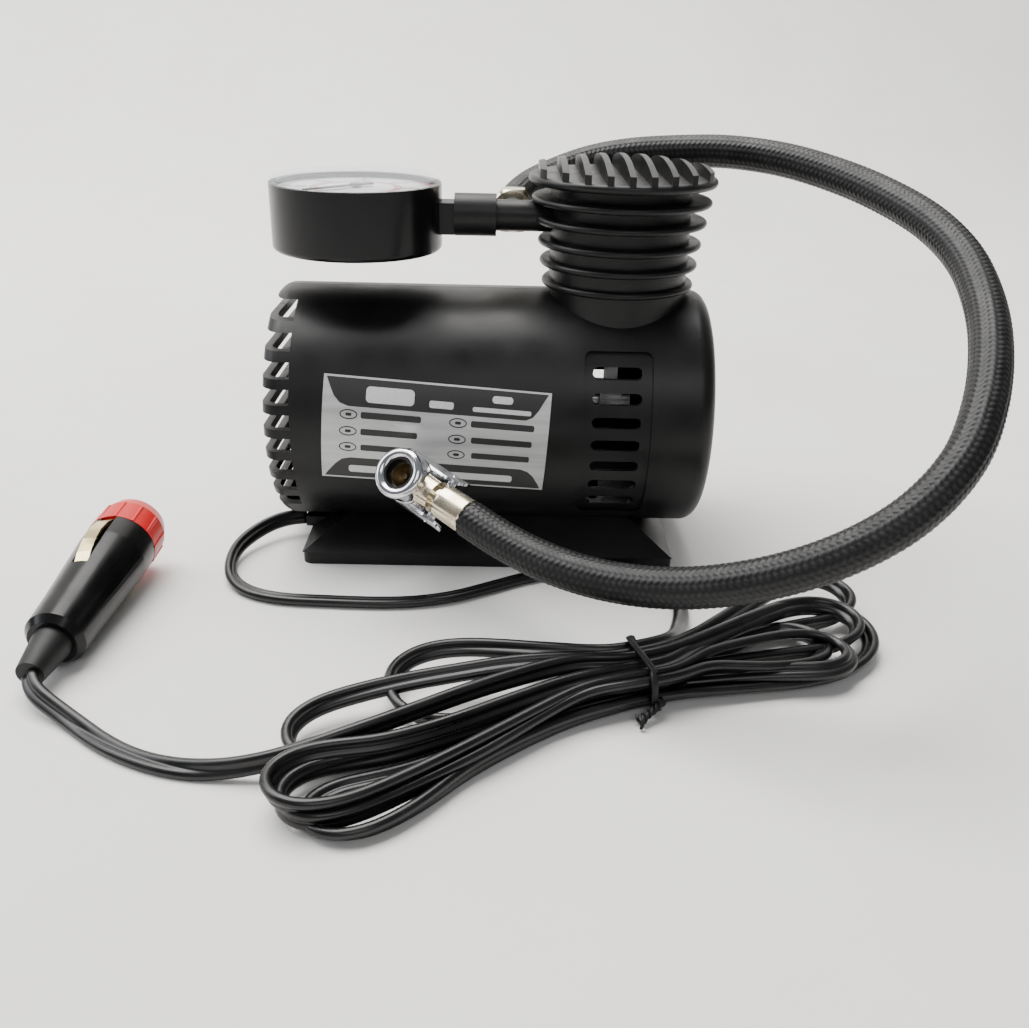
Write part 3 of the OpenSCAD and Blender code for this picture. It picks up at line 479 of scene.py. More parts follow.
def braided_hose():
    """A tube of two sets of strands, each passing over two and under two of the other."""
    line, length = even(catmull([Vector(p) for p in HOSE_PATH], SPAN_STEPS), HOSE_STEP)
    frames = carried_frames(line, (1, 0, 0))
    cuts = len(YARN_CUTS)
    around = YARNS * cuts
    rows = int(length / YARN_LEAD * 2 * YARNS * cuts)

    def across(p):
        return p // cuts + YARN_CUTS[p % cuts]

    def surface(m, n):
        p, q = (m + n) // 2, (n - m) // 2
        a, b = across(p), across(q)
        s = min(max(YARN_LEAD * (a - b) / (2 * YARNS), 0), length)
        angle = math.pi * (a + b) / YARNS
        one = YARN_LIFT * math.sin(math.pi / 2 * (p // cuts + b)) + YARN_CROWN * (1 - (2 * (a % 1) - 1) ** 2)
        two = -YARN_LIFT * math.sin(math.pi / 2 * (q // cuts + a)) + YARN_CROWN * (1 - (2 * (b % 1) - 1) ** 2)
        lift = max(one, two)
        r = HOSE_D / 2 - YARN_LIFT - YARN_CROWN + lift
        at = s / length * (len(line) - 1)
        i = min(int(at), len(line) - 2)
        centre = line[i].lerp(line[i + 1], at - i)
        side = frames[i][0].lerp(frames[i + 1][0], at - i)
        up = frames[i][1].lerp(frames[i + 1][1], at - i)
        return centre + (side * math.cos(angle) + up * math.sin(angle)) * r, lift, one > two

    vertices, lifts, faces, uvs = [], [], [], []
    for m in range(rows + 1):
        for c in range(around):
            point, lift, _ = surface(m, 2 * c + m % 2)
            vertices.append(point)
            lifts.append(lift)

    def index(m, n):
        return m * around + (n % (2 * around)) // 2

    for m in range(1, rows):
        for c in range(around):
            n = 2 * c + m % 2
            p, q = (m + n) // 2, (n - m) // 2
            faces.append((index(m, n), index(m + 1, n + 1), index(m, n + 2), index(m - 1, n + 1)))
            over = math.sin(math.pi / 2 * (p // cuts + across(q) + 0.2)) > 0
            corners = [(p, q), (p + 1, q), (p + 1, q + 1), (p, q + 1)]
            uvs += [((a, b) if over else (b, a)) for a, b in corners]
    for row in (range(around), range(rows * around, (rows + 1) * around)):
        faces.append(list(row))
        uvs += [(0, 0)] * around
    piece = new_piece("braided_hose", vertices, faces, uvs=[(u / 3, v / 3) for u, v in uvs])
    # The crest share is the mask for the braid's painted shade between strands and painted highlight on their
    # crests.
    crest = piece.data.attributes.new("crest", "FLOAT", "POINT")
    top = YARN_LIFT + YARN_CROWN
    crest.data.foreach_set("value", [min(max(lift / top, 0), 1) for lift in lifts])
    finish_piece(piece, LOOKS["hose_braid"])
    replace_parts(piece, "hose")
    return piece, line, length


hose, hose_line, hose_length = braided_hose()


# ---------------------------------------------------------------- flat cord

CORD_W = 5
CORD_T = 2.6
CORD_WEB = 0.62  # thickness of the web between the two cores, as a share of theirs
ROUTE_STEP = 1.5
CORD_STEP = 1.6
CORD_SMOOTHING = 14  # rounds that even out the route's bends
LEAN_SMOOTHING = 6
LEAD_PATH = [
    (-60.2, -10, 6), (-65, -10.5, 6), (-69.5, -14, 6), (-73, -18, 5.5), (-76, -22.5, 4.8),
    (-78.5, -28, 4), (-79.3, -34.5, 3.2), (-78.5, -41, 2.4), (-76, -47, 1.7), (-72, -51.5, 1.4),
    (-66, -55, 1.4), (-58, -57, 1.4), (-47, -57.5, 1.4), (-35, -58, 1.4), (-23, -57.5, 1.4),
    (-10, -54, 1.4), (3, -46.5, 1.4), (15, -39.8, 1.4), (29, -37.3, 1.4), (43, -38.5, 1.4),
    (53, -44, 1.4), (57, -54, 1.4), (56, -65, 2), (53.5, -75, 4), (51, -84, 7),
]
TAIL_PATH = [
    (24, -100.5, 10), (8, -108.5, 10.4), (-6, -116.5, 10.2), (-19, -124.5, 9.6), (-31, -130.5, 8.4),
    (-42, -134, 6), (-52, -135, 3.6), (-63, -134.5, 2), (-74, -131.5, 1.4), (-85, -126, 1.4),
    (-94, -119.5, 1.8), (-101.5, -114.3, 3.2), (-107.2, -111.2, 4.7), (-110.3, -108.8, 6),
    (-110.97, -105.38, 6.57),
]
TIE_AT = Vector((41, -99, 0))
TIE_TURN = math.radians(19)
TIE_ALONG = Vector((math.cos(TIE_TURN), math.sin(TIE_TURN), 0))
TIE_ACROSS = Vector((-math.sin(TIE_TURN), math.cos(TIE_TURN), 0))
TOP_ROW = 8.4  # heights of the two rows of runs under the tie
LOW_ROW = 3.6

# The hank's folds, each from where it leaves the tie to where it comes back to it
LEFT_FOLDS = [
    [(14, -92.5, 8), (4, -91, 7.6), (-7, -90, 7), (-16.5, -92.5, 6.4), (-22, -99, 5.8), (-22.5, -107, 5),
     (-18, -114.5, 4), (-8, -117, 3.2), (4, -112.5, 3), (17, -105.5, 3.2)],
    [(22, -97.5, 8.4), (8, -99.5, 8.4), (-5, -103, 8), (-18, -106.5, 7.4), (-30, -110.5, 6.4),
     (-40, -115, 5.2), (-45, -122.5, 4), (-41, -130.5, 3), (-31, -132, 2.6), (-19, -127.5, 2.4),
     (-6, -120.5, 2.4), (8, -113, 2.6), (21, -105.5, 3)],
    [(22, -107.5, 8.4), (6, -116.5, 8), (-8, -125, 7.8), (-22, -131.5, 7.6), (-33, -133.5, 7.6),
     (-42, -137.5, 7.4), (-45, -145, 7.2), (-39, -151.5, 7), (-28.5, -150.5, 6.8), (-16, -142.5, 6.8),
     (-2, -131.5, 7), (12, -120, 7.6), (25, -110, 8.4)],
    [(22, -106, 4), (6, -116, 4.4), (-8, -124.5, 4.6), (-20, -131, 4.6), (-31, -134, 4.4),
     (-39.5, -138, 4.2), (-42.5, -145.5, 4), (-36.5, -152.5, 4), (-26, -150.5, 4), (-13, -141.5, 4.2),
     (1, -130.5, 4.8), (14, -119, 6), (26, -110.5, 7.6)],
    [(20, -110.5, 2.6), (5, -120.5, 1.8), (-9, -130, 1.6), (-21, -136, 1.6), (-31, -139.5, 1.6),
     (-36.5, -146.5, 1.6), (-32, -153.5, 1.8), (-23, -153.5, 2.2), (-12.5, -145.5, 2.4), (-3, -134.5, 2.6),
     (8, -124.5, 2.6), (22, -114.5, 2.8)],
]
RIGHT_FOLDS = [
    [(56, -87, 3.2), (68, -79.5, 3), (80, -73, 3), (91, -69, 3.2), (100.5, -66.5, 4), (106.5, -58.5, 5.4),
     (102, -50, 6.6), (92.5, -50.5, 7.8), (80, -61.5, 8.4), (68, -74, 8.6), (56, -86, 8.6)],
    [(58, -91, 3.4), (71, -87.5, 3.4), (84, -84.5, 3.6), (96, -82, 4.4), (104, -75, 5.6),
     (101, -66.5, 6.8), (91, -65.5, 7.8), (80, -71, 8.4), (68, -80, 8.6), (57, -89, 8.6)],
    [(57, -93, 8.6), (70, -87, 8.6), (82, -82, 8), (92.5, -81, 6.8), (97.5, -89, 6.2), (91, -96.5, 6.4),
     (78, -97.5, 6.2), (66, -97.5, 5.4), (56, -97.5, 4)],
    [(57, -98.5, 8), (69, -97.5, 7.2), (81, -94.5, 6.2), (90.5, -88, 5), (91.5, -78, 4.4), (82.5, -72.5, 3.8),
     (70, -79.5, 3.4), (58, -90, 3.4)],
    [(58, -101.5, 2.6), (70, -99, 2.5), (82, -97, 2.5), (92, -93.5, 2.6), (101, -87, 2.8),
     (106.5, -78, 3.4), (105, -69, 4.6), (97, -64, 6), (86, -67.5, 7.6), (74, -76, 8.8), (62, -85.5, 9.4)],
]
# Where each run crosses the tie: distance across it, and height
CROSSINGS = [
    (7.5, TOP_ROW), (4.5, LOW_ROW), (4.5, TOP_ROW), (1.5, LOW_ROW), (-1.5, TOP_ROW), (-4.5, TOP_ROW),
    (-1.5, LOW_ROW), (-7.5, TOP_ROW), (-4.5, LOW_ROW), (-7.5, LOW_ROW), (1.5, TOP_ROW + 1),
]
TIE_HALF = 7  # half the length of the straight run at the tie


def crossing(number, leftwards):
    across, z = CROSSINGS[number]
    centre = TIE_AT + TIE_ACROSS * across + Vector((0, 0, z))
    turn = -1 if leftwards else 1
    return [centre + TIE_ALONG * TIE_HALF * turn * k for k in (-1, 0, 1)]


def cord_route():
    """The whole cord: from the base to the tie, through the hank's folds, and on to the plug."""
    route = [Vector(p) for p in LEAD_PATH]
    for k, (left, right) in enumerate(zip(LEFT_FOLDS, RIGHT_FOLDS)):
        route += crossing(2 * k, True) + [Vector(p) for p in left]
        route += crossing(2 * k + 1, False) + [Vector(p) for p in right]
    route += crossing(len(CROSSINGS) - 1, True) + [Vector(p) for p in TAIL_PATH]
    line, _ = even(catmull(route, 8), ROUTE_STEP)
    return even(relax(line, CORD_SMOOTHING), CORD_STEP)


def cord_frames(line):
    """Leans the flat cord on its edge where it has room to, and lays it flat on the floor."""
    frames = []
    for i, (point, ahead) in enumerate(zip(line, headings(line))):
        level = ahead.cross(Vector((0, 0, 1))).normalized()
        up = level.cross(ahead)
        room = min(max(point.z - 0.05, CORD_T / 2), CORD_W / 2)
        share = (room ** 2 - (CORD_T / 2) ** 2) / ((CORD_W / 2) ** 2 - (CORD_T / 2) ** 2)
        most = math.asin(min(math.sqrt(max(share, 0)), 1))
        wanted = math.radians(58 + 24 * math.sin(i / 31) + 10 * math.sin(i / 12.7))
        frames.append((level, up, min(most, wanted)))
    leans = [f[2] for f in frames]
    for _ in range(LEAN_SMOOTHING):
        leans = [leans[0]] + [(a + b + c) / 3 for a, b, c in zip(leans, leans[1:], leans[2:])] + [leans[-1]]
    result = []
    for (level, up, _), lean in zip(frames, leans):
        side = level * math.cos(lean) + up * math.sin(lean)
        result.append((side, up * math.cos(lean) - level * math.sin(lean)))
    return result


def two_core_outline():
    """Two round cores side by side, joined by a web that is thinner than they are."""
    r = CORD_T / 2
    offset = CORD_W / 2 - r
    turns = [math.radians(d) for d in range(-130, 131, 26)]
    right = [(offset + r * math.cos(a), r * math.sin(a)) for a in turns]
    left = [(-u, v) for u, v in reversed(right)]
    return [(0, -CORD_WEB * r)] + right + [(0, CORD_WEB * r)] + left


def power_cord():
    line, length = cord_route()
    piece = swept("power_cord", line, cord_frames(line), two_core_outline())
    finish_piece(piece, LOOKS["cord_pvc"])
    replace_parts(piece, "cord_lead", "cord_hank", "cord_tail")
    return piece, line, length


cord, cord_line, cord_length = power_cord()


# ---------------------------------------------------------------- twist tie

TIE_HALF_W = 10.4  # from the hank's middle to the tie's outside
TIE_TOP = 11.9
TIE_CORNER = 3.2
KNOT_LENGTH = 9
KNOT_TURNS = 2.6
KNOT_R = 0.75


def twist_tie():
    """A flat wire tie wound once round the hank, with its two ends twisted together at the near side."""
    r, side = TIE_CORNER, TIE_HALF_W - TIE_CORNER
    corners = [(side, r + 0.4, -90), (side, TIE_TOP - r, 0), (-side, TIE_TOP - r, 90), (-side, r + 0.4, 180)]
    loop = []
    for y, z, start in corners:
        for k in range(7):
            a = math.radians(start + 90 * k / 6)
            loop.append((y + r * math.cos(a), z + r * math.sin(a)))
    path = []
    for i, (y, z) in enumerate(loop):
        slant = 2.2 * math.sin(2 * math.pi * (i / len(loop)) + 0.6)
        path.append(TIE_AT + TIE_ACROSS * y + TIE_ALONG * slant + Vector((0, 0, z)))
    start = len(path) // 2 + 9
    path = path[start:] + path[:start]
    ribbon = even(catmull(path, 4), 0.8)[0]
    frames = []
    for ahead in headings(ribbon):
        side = (TIE_ALONG - ahead * TIE_ALONG.dot(ahead)).normalized()
        frames.append((side, ahead.cross(side)))
    outline = [(-0.85, -0.2), (-0.45, -0.28), (-0.35, -0.45), (0.35, -0.45), (0.45, -0.28), (0.85, -0.2),
               (0.85, 0.2), (0.45, 0.28), (0.35, 0.45), (-0.35, 0.45), (-0.45, 0.28), (-0.85, 0.2)]
    band = swept("tie_band", ribbon, frames, outline)
    finish_piece(band, LOOKS["black_rubber"], edge=50)
    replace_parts(band, "twist_tie")
    knot = TIE_AT - TIE_ACROSS * 10.6 + TIE_ALONG * 0.5 + Vector((0, 0, 4.6))
    down_out = -TIE_ALONG * 0.85 - TIE_ACROSS * 0.28 + Vector((0, 0, -0.33))
    thin = [(0.5 * u, 0.9 * v) for u, v in outline]
    ends = []
    for number, phase in enumerate((0, math.pi)):
        twisted = []
        for k in range(34):
            t = k / 33
            turn = phase + t * KNOT_TURNS * 2 * math.pi
            r = KNOT_R + 3.6 * max(t - 0.75, 0)  # the tips spread apart
            axis = knot + down_out * KNOT_LENGTH * t
            twisted.append(axis + TIE_ACROSS * r * math.cos(turn) + Vector((0, 0, 1)) * r * math.sin(turn))
        frames = carried_frames(twisted, (0, 0, 1))
        end = swept(f"tie_end_{number + 1}", twisted, frames, thin)
        finish_piece(end, LOOKS["black_rubber"], edge=50)
        ends.append(end)
    return [band] + ends


tie_pieces = twist_tie()


# ---------------------------------------------------------------- hose ferrule

# The chuck's place and turn, as in the CAD source: its own X runs along it to the hose
CHUCK_AT = Vector((-21.6, -53.3, 38.5))
CHUCK_TURN = (
    Matrix.Rotation(math.radians(-38), 3, "Z")
    @ Matrix.Rotation(math.radians(14), 3, "Y")
    @ Matrix.Rotation(math.radians(53), 3, "X")
)
FERRULE_FLATS = 14
FERRULE_START = 12.5
CRIMPED = (0.8, 8.6)  # the heights between which the flats are pressed


def crimped(angle, height):
    """How far a crimped ferrule stands out, with soft flats pressed along its length."""
    step = 2 * math.pi / FERRULE_FLATS
    off = (angle + step / 2) % step - step / 2
    pressed = min(math.cos(step / 2) / math.cos(off) * 1.035, 1.0)
    return pressed if CRIMPED[0] < height < CRIMPED[1] else 1.0


def hose_ferrule():
    outside = [
        (4.45, 0), (4.85, 0.35), (4.9, 0.8), (4.92, 1.2), (4.92, 8.2), (4.9, 8.6), (4.9, 8.9), (4.6, 9.3),
    ]
    inside = [(3.4, 9.3), (3.26, 9.0), (3.26, 0.4), (3.4, 0)]
    turn = CHUCK_TURN @ Matrix.Rotation(math.radians(90), 3, "Y")
    place = CHUCK_AT + CHUCK_TURN @ Vector((FERRULE_START, 0, 0))
    piece = turned_ring("ferrule", outside + inside, turn, place, sides=192, facets=crimped)
    finish_piece(piece, LOOKS["nickel_brass"], edge=14)
    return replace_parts(piece, "hose_ferrule")


ferrule = hose_ferrule()


# ---------------------------------------------------------------- chuck lever

PIVOT = (10.5, -3)  # in the chuck's own frame, along it and up to its mouth
LEVER_TOE = -8.6
LEVER_T = 0.8
LEVER_OUT = 0.35  # how far the sheet's outside stands off its channel
LEVER_LOW = -9.2  # where the cheeks meet the web
REAR_R = 4.4  # of the round rear end, about the pivot


def cheek_top(x):
    """How high the lever's cheeks reach at a place along it, with a round rear end."""
    if x > PIVOT[0]:
        return PIVOT[1] + math.sqrt(max(REAR_R ** 2 - (x - PIVOT[0]) ** 2, 0))
    front = min((x - LEVER_TOE) / 8, 1)
    return -5.6 + 5.2 * math.sin(front * math.pi / 2) + 1.8 * max(x, 0) / PIVOT[0]


def cheek_low(x):
    """How low they reach: down to the web, and round behind the pivot."""
    if x > PIVOT[0]:
        return PIVOT[1] - math.sqrt(max(REAR_R ** 2 - (x - PIVOT[0]) ** 2, 0))
    behind = min(max((x - 6.5) / (PIVOT[0] - 6.5), 0), 1)
    return LEVER_LOW + behind * 1.8


def lever_wall(height):
    """The half width of the lever's channel at a height: widest near the pivot, tucked in above."""
    return 5.95 + 1.55 * math.cos(math.radians(min(max((height + 4.2) / 4.6, -1), 1) * 88))


def lever_sheet(stations, section, name):
    """A pressed sheet between inner and outer walls, from sections along the lever."""
    rings = [section(x) for x in stations]
    width = len(rings[0])
    vertices = [
        CHUCK_AT + CHUCK_TURN @ Vector((x, y, z))
        for x, ring in zip(stations, rings)
        for y, z in ring
    ]
    faces = [
        (i * width + k, i * width + (k + 1) % width, (i + 1) * width + (k + 1) % width, (i + 1) * width + k)
        for i in range(len(stations) - 1)
        for k in range(width)
    ]
    faces += [list(range(width)), list(range(len(vertices) - width, len(vertices)))]
    return new_piece(name, vertices, faces, body="chuck_lever")


def cheek_section(side):
    steps = 10

    def section(x):
        low, top = cheek_low(x), cheek_top(x)
        heights = [low + (top - low) * k / steps for k in range(steps + 1)]
        outer = [(side * (lever_wall(z) + LEVER_OUT), z) for z in heights]
        inner = [(side * (lever_wall(z) + LEVER_OUT - LEVER_T), z) for z in reversed(heights)]
        return outer + inner

    return section


def web_section(x):
    """The web's rounded underside and flat top, the same all along it."""
    reach = lever_wall(LEVER_LOW) + LEVER_OUT
    turns = [math.radians(d) for d in range(180, 361, 15)]
    under = [(reach * math.cos(a), -8.4 + 0.9 * math.sin(a)) for a in turns]
    return under + [(y * 0.96, -8.1) for y in (reach, reach * 0.5, 0, -reach * 0.5, -reach)]


def chuck_lever():
    """A pressed chrome lever: two bulged cheeks beside the chuck and a web under it."""
    along = [LEVER_TOE + (PIVOT[0] - LEVER_TOE) * k / 24 for k in range(25)]
    along += [PIVOT[0] + (REAR_R - 0.01) * math.sin(math.pi / 2 * k / 10) for k in range(1, 11)]
    pieces = [lever_sheet(along, cheek_section(side), f"lever_cheek_{side + 2}") for side in (-1, 1)]
    front = [LEVER_TOE + (8.2 - LEVER_TOE) * k / 14 for k in range(15)]
    pieces.append(lever_sheet(front, web_section, "lever_web"))
    for piece in pieces:
        finish_piece(piece, LOOKS["chrome"], edge=55)
        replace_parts(piece, "chuck_lever")
    return pieces


lever = chuck_lever()


# ---------------------------------------------------------------- label print

label_low, label_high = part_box("label_plate")
LABEL_AT = tuple((label_low[k] + label_high[k]) / 2 / MM for k in (0, 2))
LABEL_TILT = math.radians(3.5)
BODY_R = 37
BODY_Z = 43.8
INK = 0.03
INK_GAP = 0.01
STRIP_ACROSS = 0.97  # sizes of the strips that the ink is cut into
STRIP_ALONG = 3.9
CORNER_STEPS = 5
OVAL_STEPS = 28


def on_label(a, b, lift):
    """A point of the label's own plane, wrapped on the body cylinder."""
    x = LABEL_AT[0] + a * math.cos(LABEL_TILT) + b * math.sin(LABEL_TILT)
    z = LABEL_AT[1] - a * math.sin(LABEL_TILT) + b * math.cos(LABEL_TILT)
    r = BODY_R + lift
    return Vector((x, -math.sqrt(r ** 2 - (z - BODY_Z) ** 2), z))


def printed_shapes(name, shapes, lift, material):
    """Thin ink shapes on the label, cut into narrow strips so that they follow its curve."""
    work = bmesh.new()
    for shape in shapes:
        corners = [work.verts.new((a, b, 0)) for a, b in shape]
        work.faces.new(corners)
    bmesh.ops.triangulate(work, faces=work.faces[:])
    cuts = [((0, k * STRIP_ACROSS, 0), (0, 1, 0)) for k in range(-16, 17)]
    cuts += [((k * STRIP_ALONG, 0, 0), (1, 0, 0)) for k in range(-8, 9)]
    for place, facing in cuts:
        everything = work.verts[:] + work.edges[:] + work.faces[:]
        bmesh.ops.bisect_plane(work, geom=everything, plane_co=place, plane_no=facing)
    made = bmesh.ops.extrude_face_region(work, geom=work.faces[:])
    for v in made["geom"]:
        if isinstance(v, bmesh.types.BMVert):
            v.co.z = INK
    for v in work.verts:
        v.co = on_label(v.co.x, v.co.y, lift + v.co.z) * MM
    mesh = bpy.data.meshes.new(name)
    work.to_mesh(mesh)
    work.free()
    piece = bpy.data.objects.new(name, mesh)
    bpy.context.scene.collection.objects.link(piece)
    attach(piece, ROOT)
    return finish_piece(piece, material, edge=40)


def rounded(a, b, width, height, r):
    """A rectangle with rounded corners, centred on (a, b)."""
    points = []
    for sx, sy, start in ((1, -1, -90), (1, 1, 0), (-1, 1, 90), (-1, -1, 180)):
        for k in range(CORNER_STEPS):
            t = math.radians(start + 90 * k / (CORNER_STEPS - 1))
            points.append((
                a + sx * (width / 2 - r) + r * math.cos(t),
                b + sy * (height / 2 - r) + r * math.sin(t),
            ))
    return points


def oval_rings(a, b, width, height, line):
    """An oval outline, made of short four-sided pieces."""
    pieces = []
    for k in range(OVAL_STEPS):
        t, n = 2 * math.pi * k / OVAL_STEPS, 2 * math.pi * (k + 1) / OVAL_STEPS
        inner = (width / 2 - line, height / 2 - line)
        pieces.append([
            (a + width / 2 * math.cos(t), b + height / 2 * math.sin(t)),
            (a + width / 2 * math.cos(n), b + height / 2 * math.sin(n)),
            (a + inner[0] * math.cos(n), b + inner[1] * math.sin(n)),
            (a + inner[0] * math.cos(t), b + inner[1] * math.sin(t)),
        ])
    return pieces


def label_print():
    """Dark bands along the label's two edges, and blank bars and ovals in place of its lettering."""
    top = [(-32.2, 15), (-31.2, 12.8), (-29.8, 10), (-28, 8.2), (-25.5, 7.4), (26, 7.4), (28, 8.3),
           (29.6, 10.4), (31, 13), (32.2, 15)]
    low = [(-32.2, -15), (32.2, -15), (31.2, -13), (29.6, -10.4), (28, -9), (25.8, -8.2), (-24.5, -8.2),
           (-27, -8.8), (-29, -10.6), (-31, -13.2)]
    printed_shapes("label_bands", [top, low], INK_GAP, LOOKS["needle_black"])
    bars = [rounded(-13.5, 11, 14, 4.4, 1.2), rounded(1.4, 9.8, 7, 2, 0.6)]
    bars += [rounded(19, 12.5, 6, 2, 0.9), rounded(19, 9.4, 17, 1.3, 0.5)]
    bars += [rounded(-15.5, -12, 19, 2.4, 0.8), rounded(13.5, -12, 20, 2.4, 0.8)]
    printed_shapes("label_white_bars", bars, INK_GAP + INK, LOOKS["label_white"])
    dark = []
    for row, b in enumerate((5.1, 0.2, -4.7)):
        dark += oval_rings(-25.3, b, 5.2, 2.9, 0.35) + oval_rings(6.5, b, 5.2, 2.9, 0.35)
        dark.append(rounded(-13 - row * 0.4, b, 17.5 - row, 1.9, 0.5))
        dark.append(rounded(19.5, b, 18.5 - 0.7 * row, 1.9, 0.5))
        dark += [rounded(-25.3, b, 1.8, 0.9, 0.4), rounded(6.5, b, 1.8, 0.9, 0.4)]
    printed_shapes("label_dark_bars", dark, INK_GAP, LOOKS["needle_black"])


LOOKS["label_white"] = printed("label_white", (0.72, 0.73, 0.72))
label_print()


# ---------------------------------------------------------------- gauge dial

GAUGE_X = -41
DIAL_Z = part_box("gauge_dial")[1][2] / MM
DIAL_START = math.radians(-135)  # where the needle rests, counted from +X
DIAL_SWEEP = math.radians(-270)
DIAL_STEPS = 60
DIAL_NUMBERS = 7
DIAL_MOST = 300
DIAL_INK = (0.005, 0.03)  # heights of the ink's underside and top above the dial
ARC_STEPS = 90
BAR_FACES = ((3, 2, 1, 0), (4, 5, 6, 7), (0, 1, 5, 4), (1, 2, 6, 5), (2, 3, 7, 6), (3, 0, 4, 7))


def dial_point(angle, r, lift):
    return Vector((GAUGE_X + r * math.cos(angle), r * math.sin(angle), DIAL_Z + lift))


def dial_marks(name, marks, material):
    """Printed bars on the dial, each from (angle, inner radius, outer radius, width)."""
    vertices, faces = [], []
    for angle, inner, outer, width in marks:
        along = Vector((math.cos(angle), math.sin(angle), 0))
        across = Vector((-math.sin(angle), math.cos(angle), 0))
        centre = Vector((GAUGE_X, 0, DIAL_Z))
        first = len(vertices)
        for z in DIAL_INK:
            for r, side in ((inner, -1), (outer, -1), (outer, 1), (inner, 1)):
                vertices.append(centre + along * r + across * side * width / 2 + Vector((0, 0, z)))
        faces += [[first + k for k in face] for face in BAR_FACES]
    piece = new_piece(name, vertices, faces, smooth=False)
    return finish_piece(piece, material)


def dial_arc(name, r, width, start, stop, material):
    """A printed arc, from one share of the sweep to another."""
    steps = ARC_STEPS
    vertices, faces = [], []
    for k in range(steps + 1):
        angle = DIAL_START + DIAL_SWEEP * (start + (stop - start) * k / steps)
        for z in DIAL_INK:
            vertices += [dial_point(angle, r - width / 2, z), dial_point(angle, r + width / 2, z)]
    for k in range(steps):
        a, b = 4 * k, 4 * k + 4
        faces += [(a, a + 1, b + 1, b), (a + 2, b + 2, b + 3, a + 3)]
        faces += [(a, b, b + 2, a + 2), (a + 1, a + 3, b + 3, b + 1)]
    faces += [(0, 2, 3, 1), (4 * steps, 4 * steps + 1, 4 * steps + 3, 4 * steps + 2)]
    return finish_piece(new_piece(name, vertices, faces, smooth=False), material)


def dial_number(value, angle, r, size, material):
    data = bpy.data.curves.new(f"dial_{value}", "FONT")
    data.body = str(value)
    data.size = size * MM
    data.align_x = "CENTER"
    data.align_y = "CENTER"
    data.extrude = 0.012 * MM
    text = bpy.data.objects.new(f"dial_{value}", data)
    bpy.context.scene.collection.objects.link(text)
    bpy.context.view_layer.update()
    mesh = bpy.data.meshes.new_from_object(text.evaluated_get(bpy.context.evaluated_depsgraph_get()))
    bpy.data.objects.remove(text)
    mesh.transform(Matrix.Translation(dial_point(angle, r, 0.02) * MM))
    number = bpy.data.objects.new(f"dial_number_{value}", mesh)
    bpy.context.scene.collection.objects.link(number)
    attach(number, ROOT)
    return finish_piece(number, material, fix_normals=False)


def gauge_face():
    black, red = LOOKS["needle_black"], LOOKS["dial_red"]
    minor, major = [], []
    for k in range(DIAL_STEPS + 1):
        angle = DIAL_START + DIAL_SWEEP * k / DIAL_STEPS
        if k % 10 == 0:
            major.append((angle, 19.2, 22.4, 0.7))
        else:
            minor.append((angle, 20.4, 22.4, 0.3))
    dial_marks("dial_minor_marks", minor, black)
    dial_marks("dial_major_marks", major, black)
    dial_marks("dial_inner_marks", [(a, 11.4, 13, 0.3) for a, _, _, _ in minor + major], red)
    dial_arc("dial_red_arc", 13.4, 0.5, 0, 1, red)
    dial_arc("dial_red_zone", 23.0, 0.9, 2 / 3, 1, red)
    dial_arc("dial_black_arc", 22.5, 0.3, 0, 1, black)
    for k in range(DIAL_NUMBERS):
        share = k / (DIAL_NUMBERS - 1)
        dial_number(round(DIAL_MOST * share), DIAL_START + DIAL_SWEEP * share, 16.2, 3.6, black)


LOOKS["dial_red"] = printed("dial_red", (0.55, 0.03, 0.03))
gauge_face()


# ---------------------------------------------------------------- the cords' centre lines in metres, made and not kept

[p * MM for p in hose_line]
[p * MM for p in cord_line]


# ---------------------------------------------------------------- studio

FLOOR_W = 6000
FLOOR_FRONT = -3000
COVE_START = 500
COVE_R = 500
WALL_TOP = 1800
COVE_STEPS = 16
FLOOR_GAP = 0.02  # keeps the floor from touching the feet


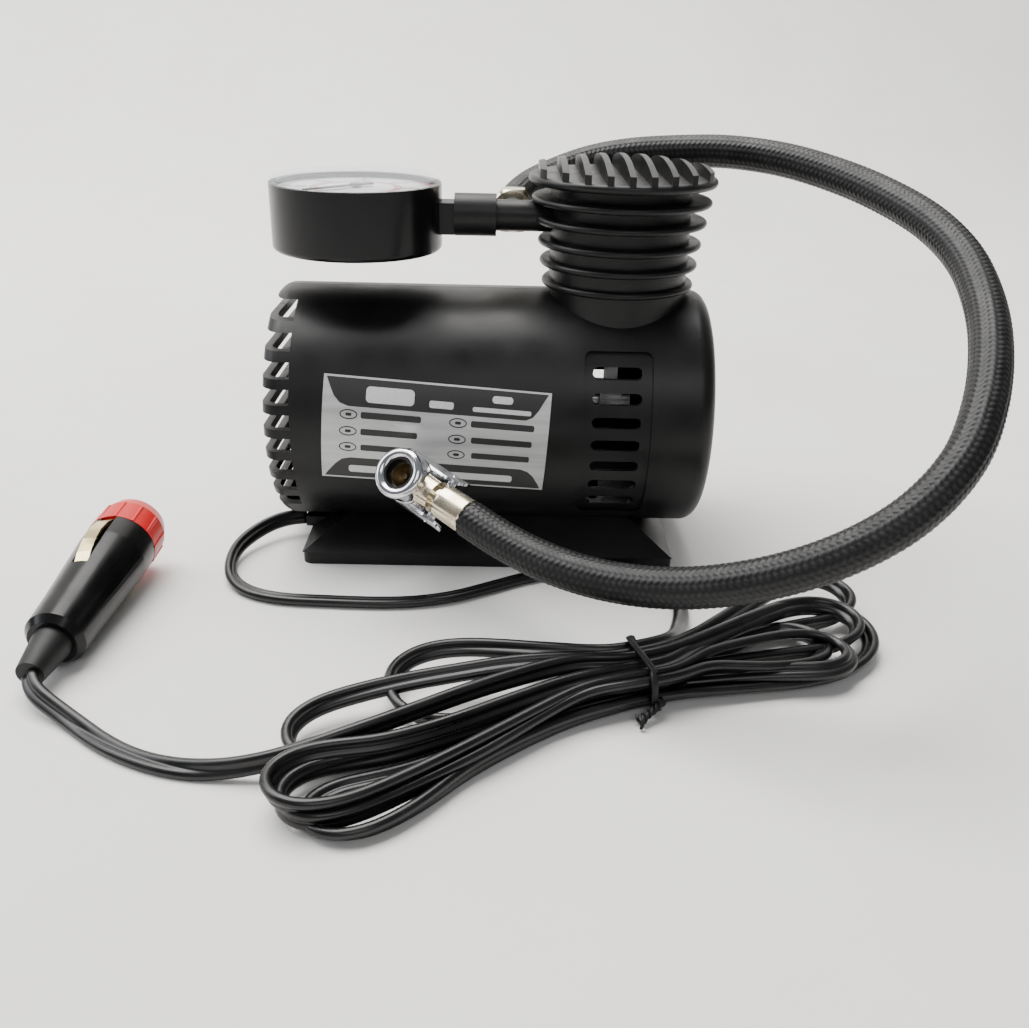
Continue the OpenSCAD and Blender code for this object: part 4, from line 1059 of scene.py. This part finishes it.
def floor_material():
    """Matt off-white paper with faint creases and marks."""
    shade = Shade("paper", Specular_IOR_Level=0.25)
    stains = shade.noise(120, detail=6, rough=0.6)
    shade.colours(stains, (0.3, (0.74, 0.725, 0.70)), (0.7, (0.79, 0.785, 0.77)))
    shade.rough(stains, 0.55, 0.8)
    shade.bump(shade.noise(60, detail=3), 0.25)
    return shade.material


def studio():
    """A floor that curves up into a wall behind the object."""
    profile = [(FLOOR_FRONT, 0), (COVE_START, 0)]
    for k in range(1, COVE_STEPS + 1):
        a = math.pi / 2 * k / COVE_STEPS
        profile.append((COVE_START + COVE_R * math.sin(a), COVE_R * (1 - math.cos(a))))
    profile.append((COVE_START + COVE_R, WALL_TOP))
    vertices = [(x * FLOOR_W / 2, y, z - FLOOR_GAP) for y, z in profile for x in (-1, 1)]
    faces = [(2 * i, 2 * i + 1, 2 * i + 3, 2 * i + 2) for i in range(len(profile) - 1)]
    mesh = bpy.data.meshes.new("backdrop")
    mesh.from_pydata([Vector(v) * MM for v in vertices], [], faces)
    for face in mesh.polygons:
        face.use_smooth = True
    mesh.materials.append(floor_material())
    backdrop = bpy.data.objects.new("backdrop", mesh)
    bpy.context.scene.collection.objects.link(backdrop)


def area_light(name, place, aim, width, height, power, colour):
    """A soft light, with its place and size in metres and its power in watts."""
    data = bpy.data.lights.new(name, "AREA")
    data.shape = "RECTANGLE"
    data.size = width
    data.size_y = height
    data.energy = power
    data.color = colour
    lamp = bpy.data.objects.new(name, data)
    lamp.location = place
    lamp.rotation_euler = (Vector(aim) - Vector(place)).to_track_quat("-Z", "Y").to_euler()
    bpy.context.scene.collection.objects.link(lamp)


def lights():
    area_light("overhead", (-0.35, 0.45, 1.5), (0, 0, 0), 1.6, 1.2, 70, (1.0, 0.985, 0.965))
    area_light("window", (-1.3, 0.1, 0.9), (0, 0, 0.05), 0.9, 0.9, 12, (0.95, 0.97, 1.0))
    area_light("front_fill", (0.3, -1.6, 1.3), (0, -0.1, 0), 1.2, 0.8, 9, (1, 1, 1))
    world = bpy.data.worlds.new("room")
    world.use_nodes = True
    world.node_tree.nodes["Background"].inputs["Color"].default_value = (0.9, 0.93, 1.0, 1)
    world.node_tree.nodes["Background"].inputs["Strength"].default_value = 0.22
    bpy.context.scene.world = world


studio()
lights()
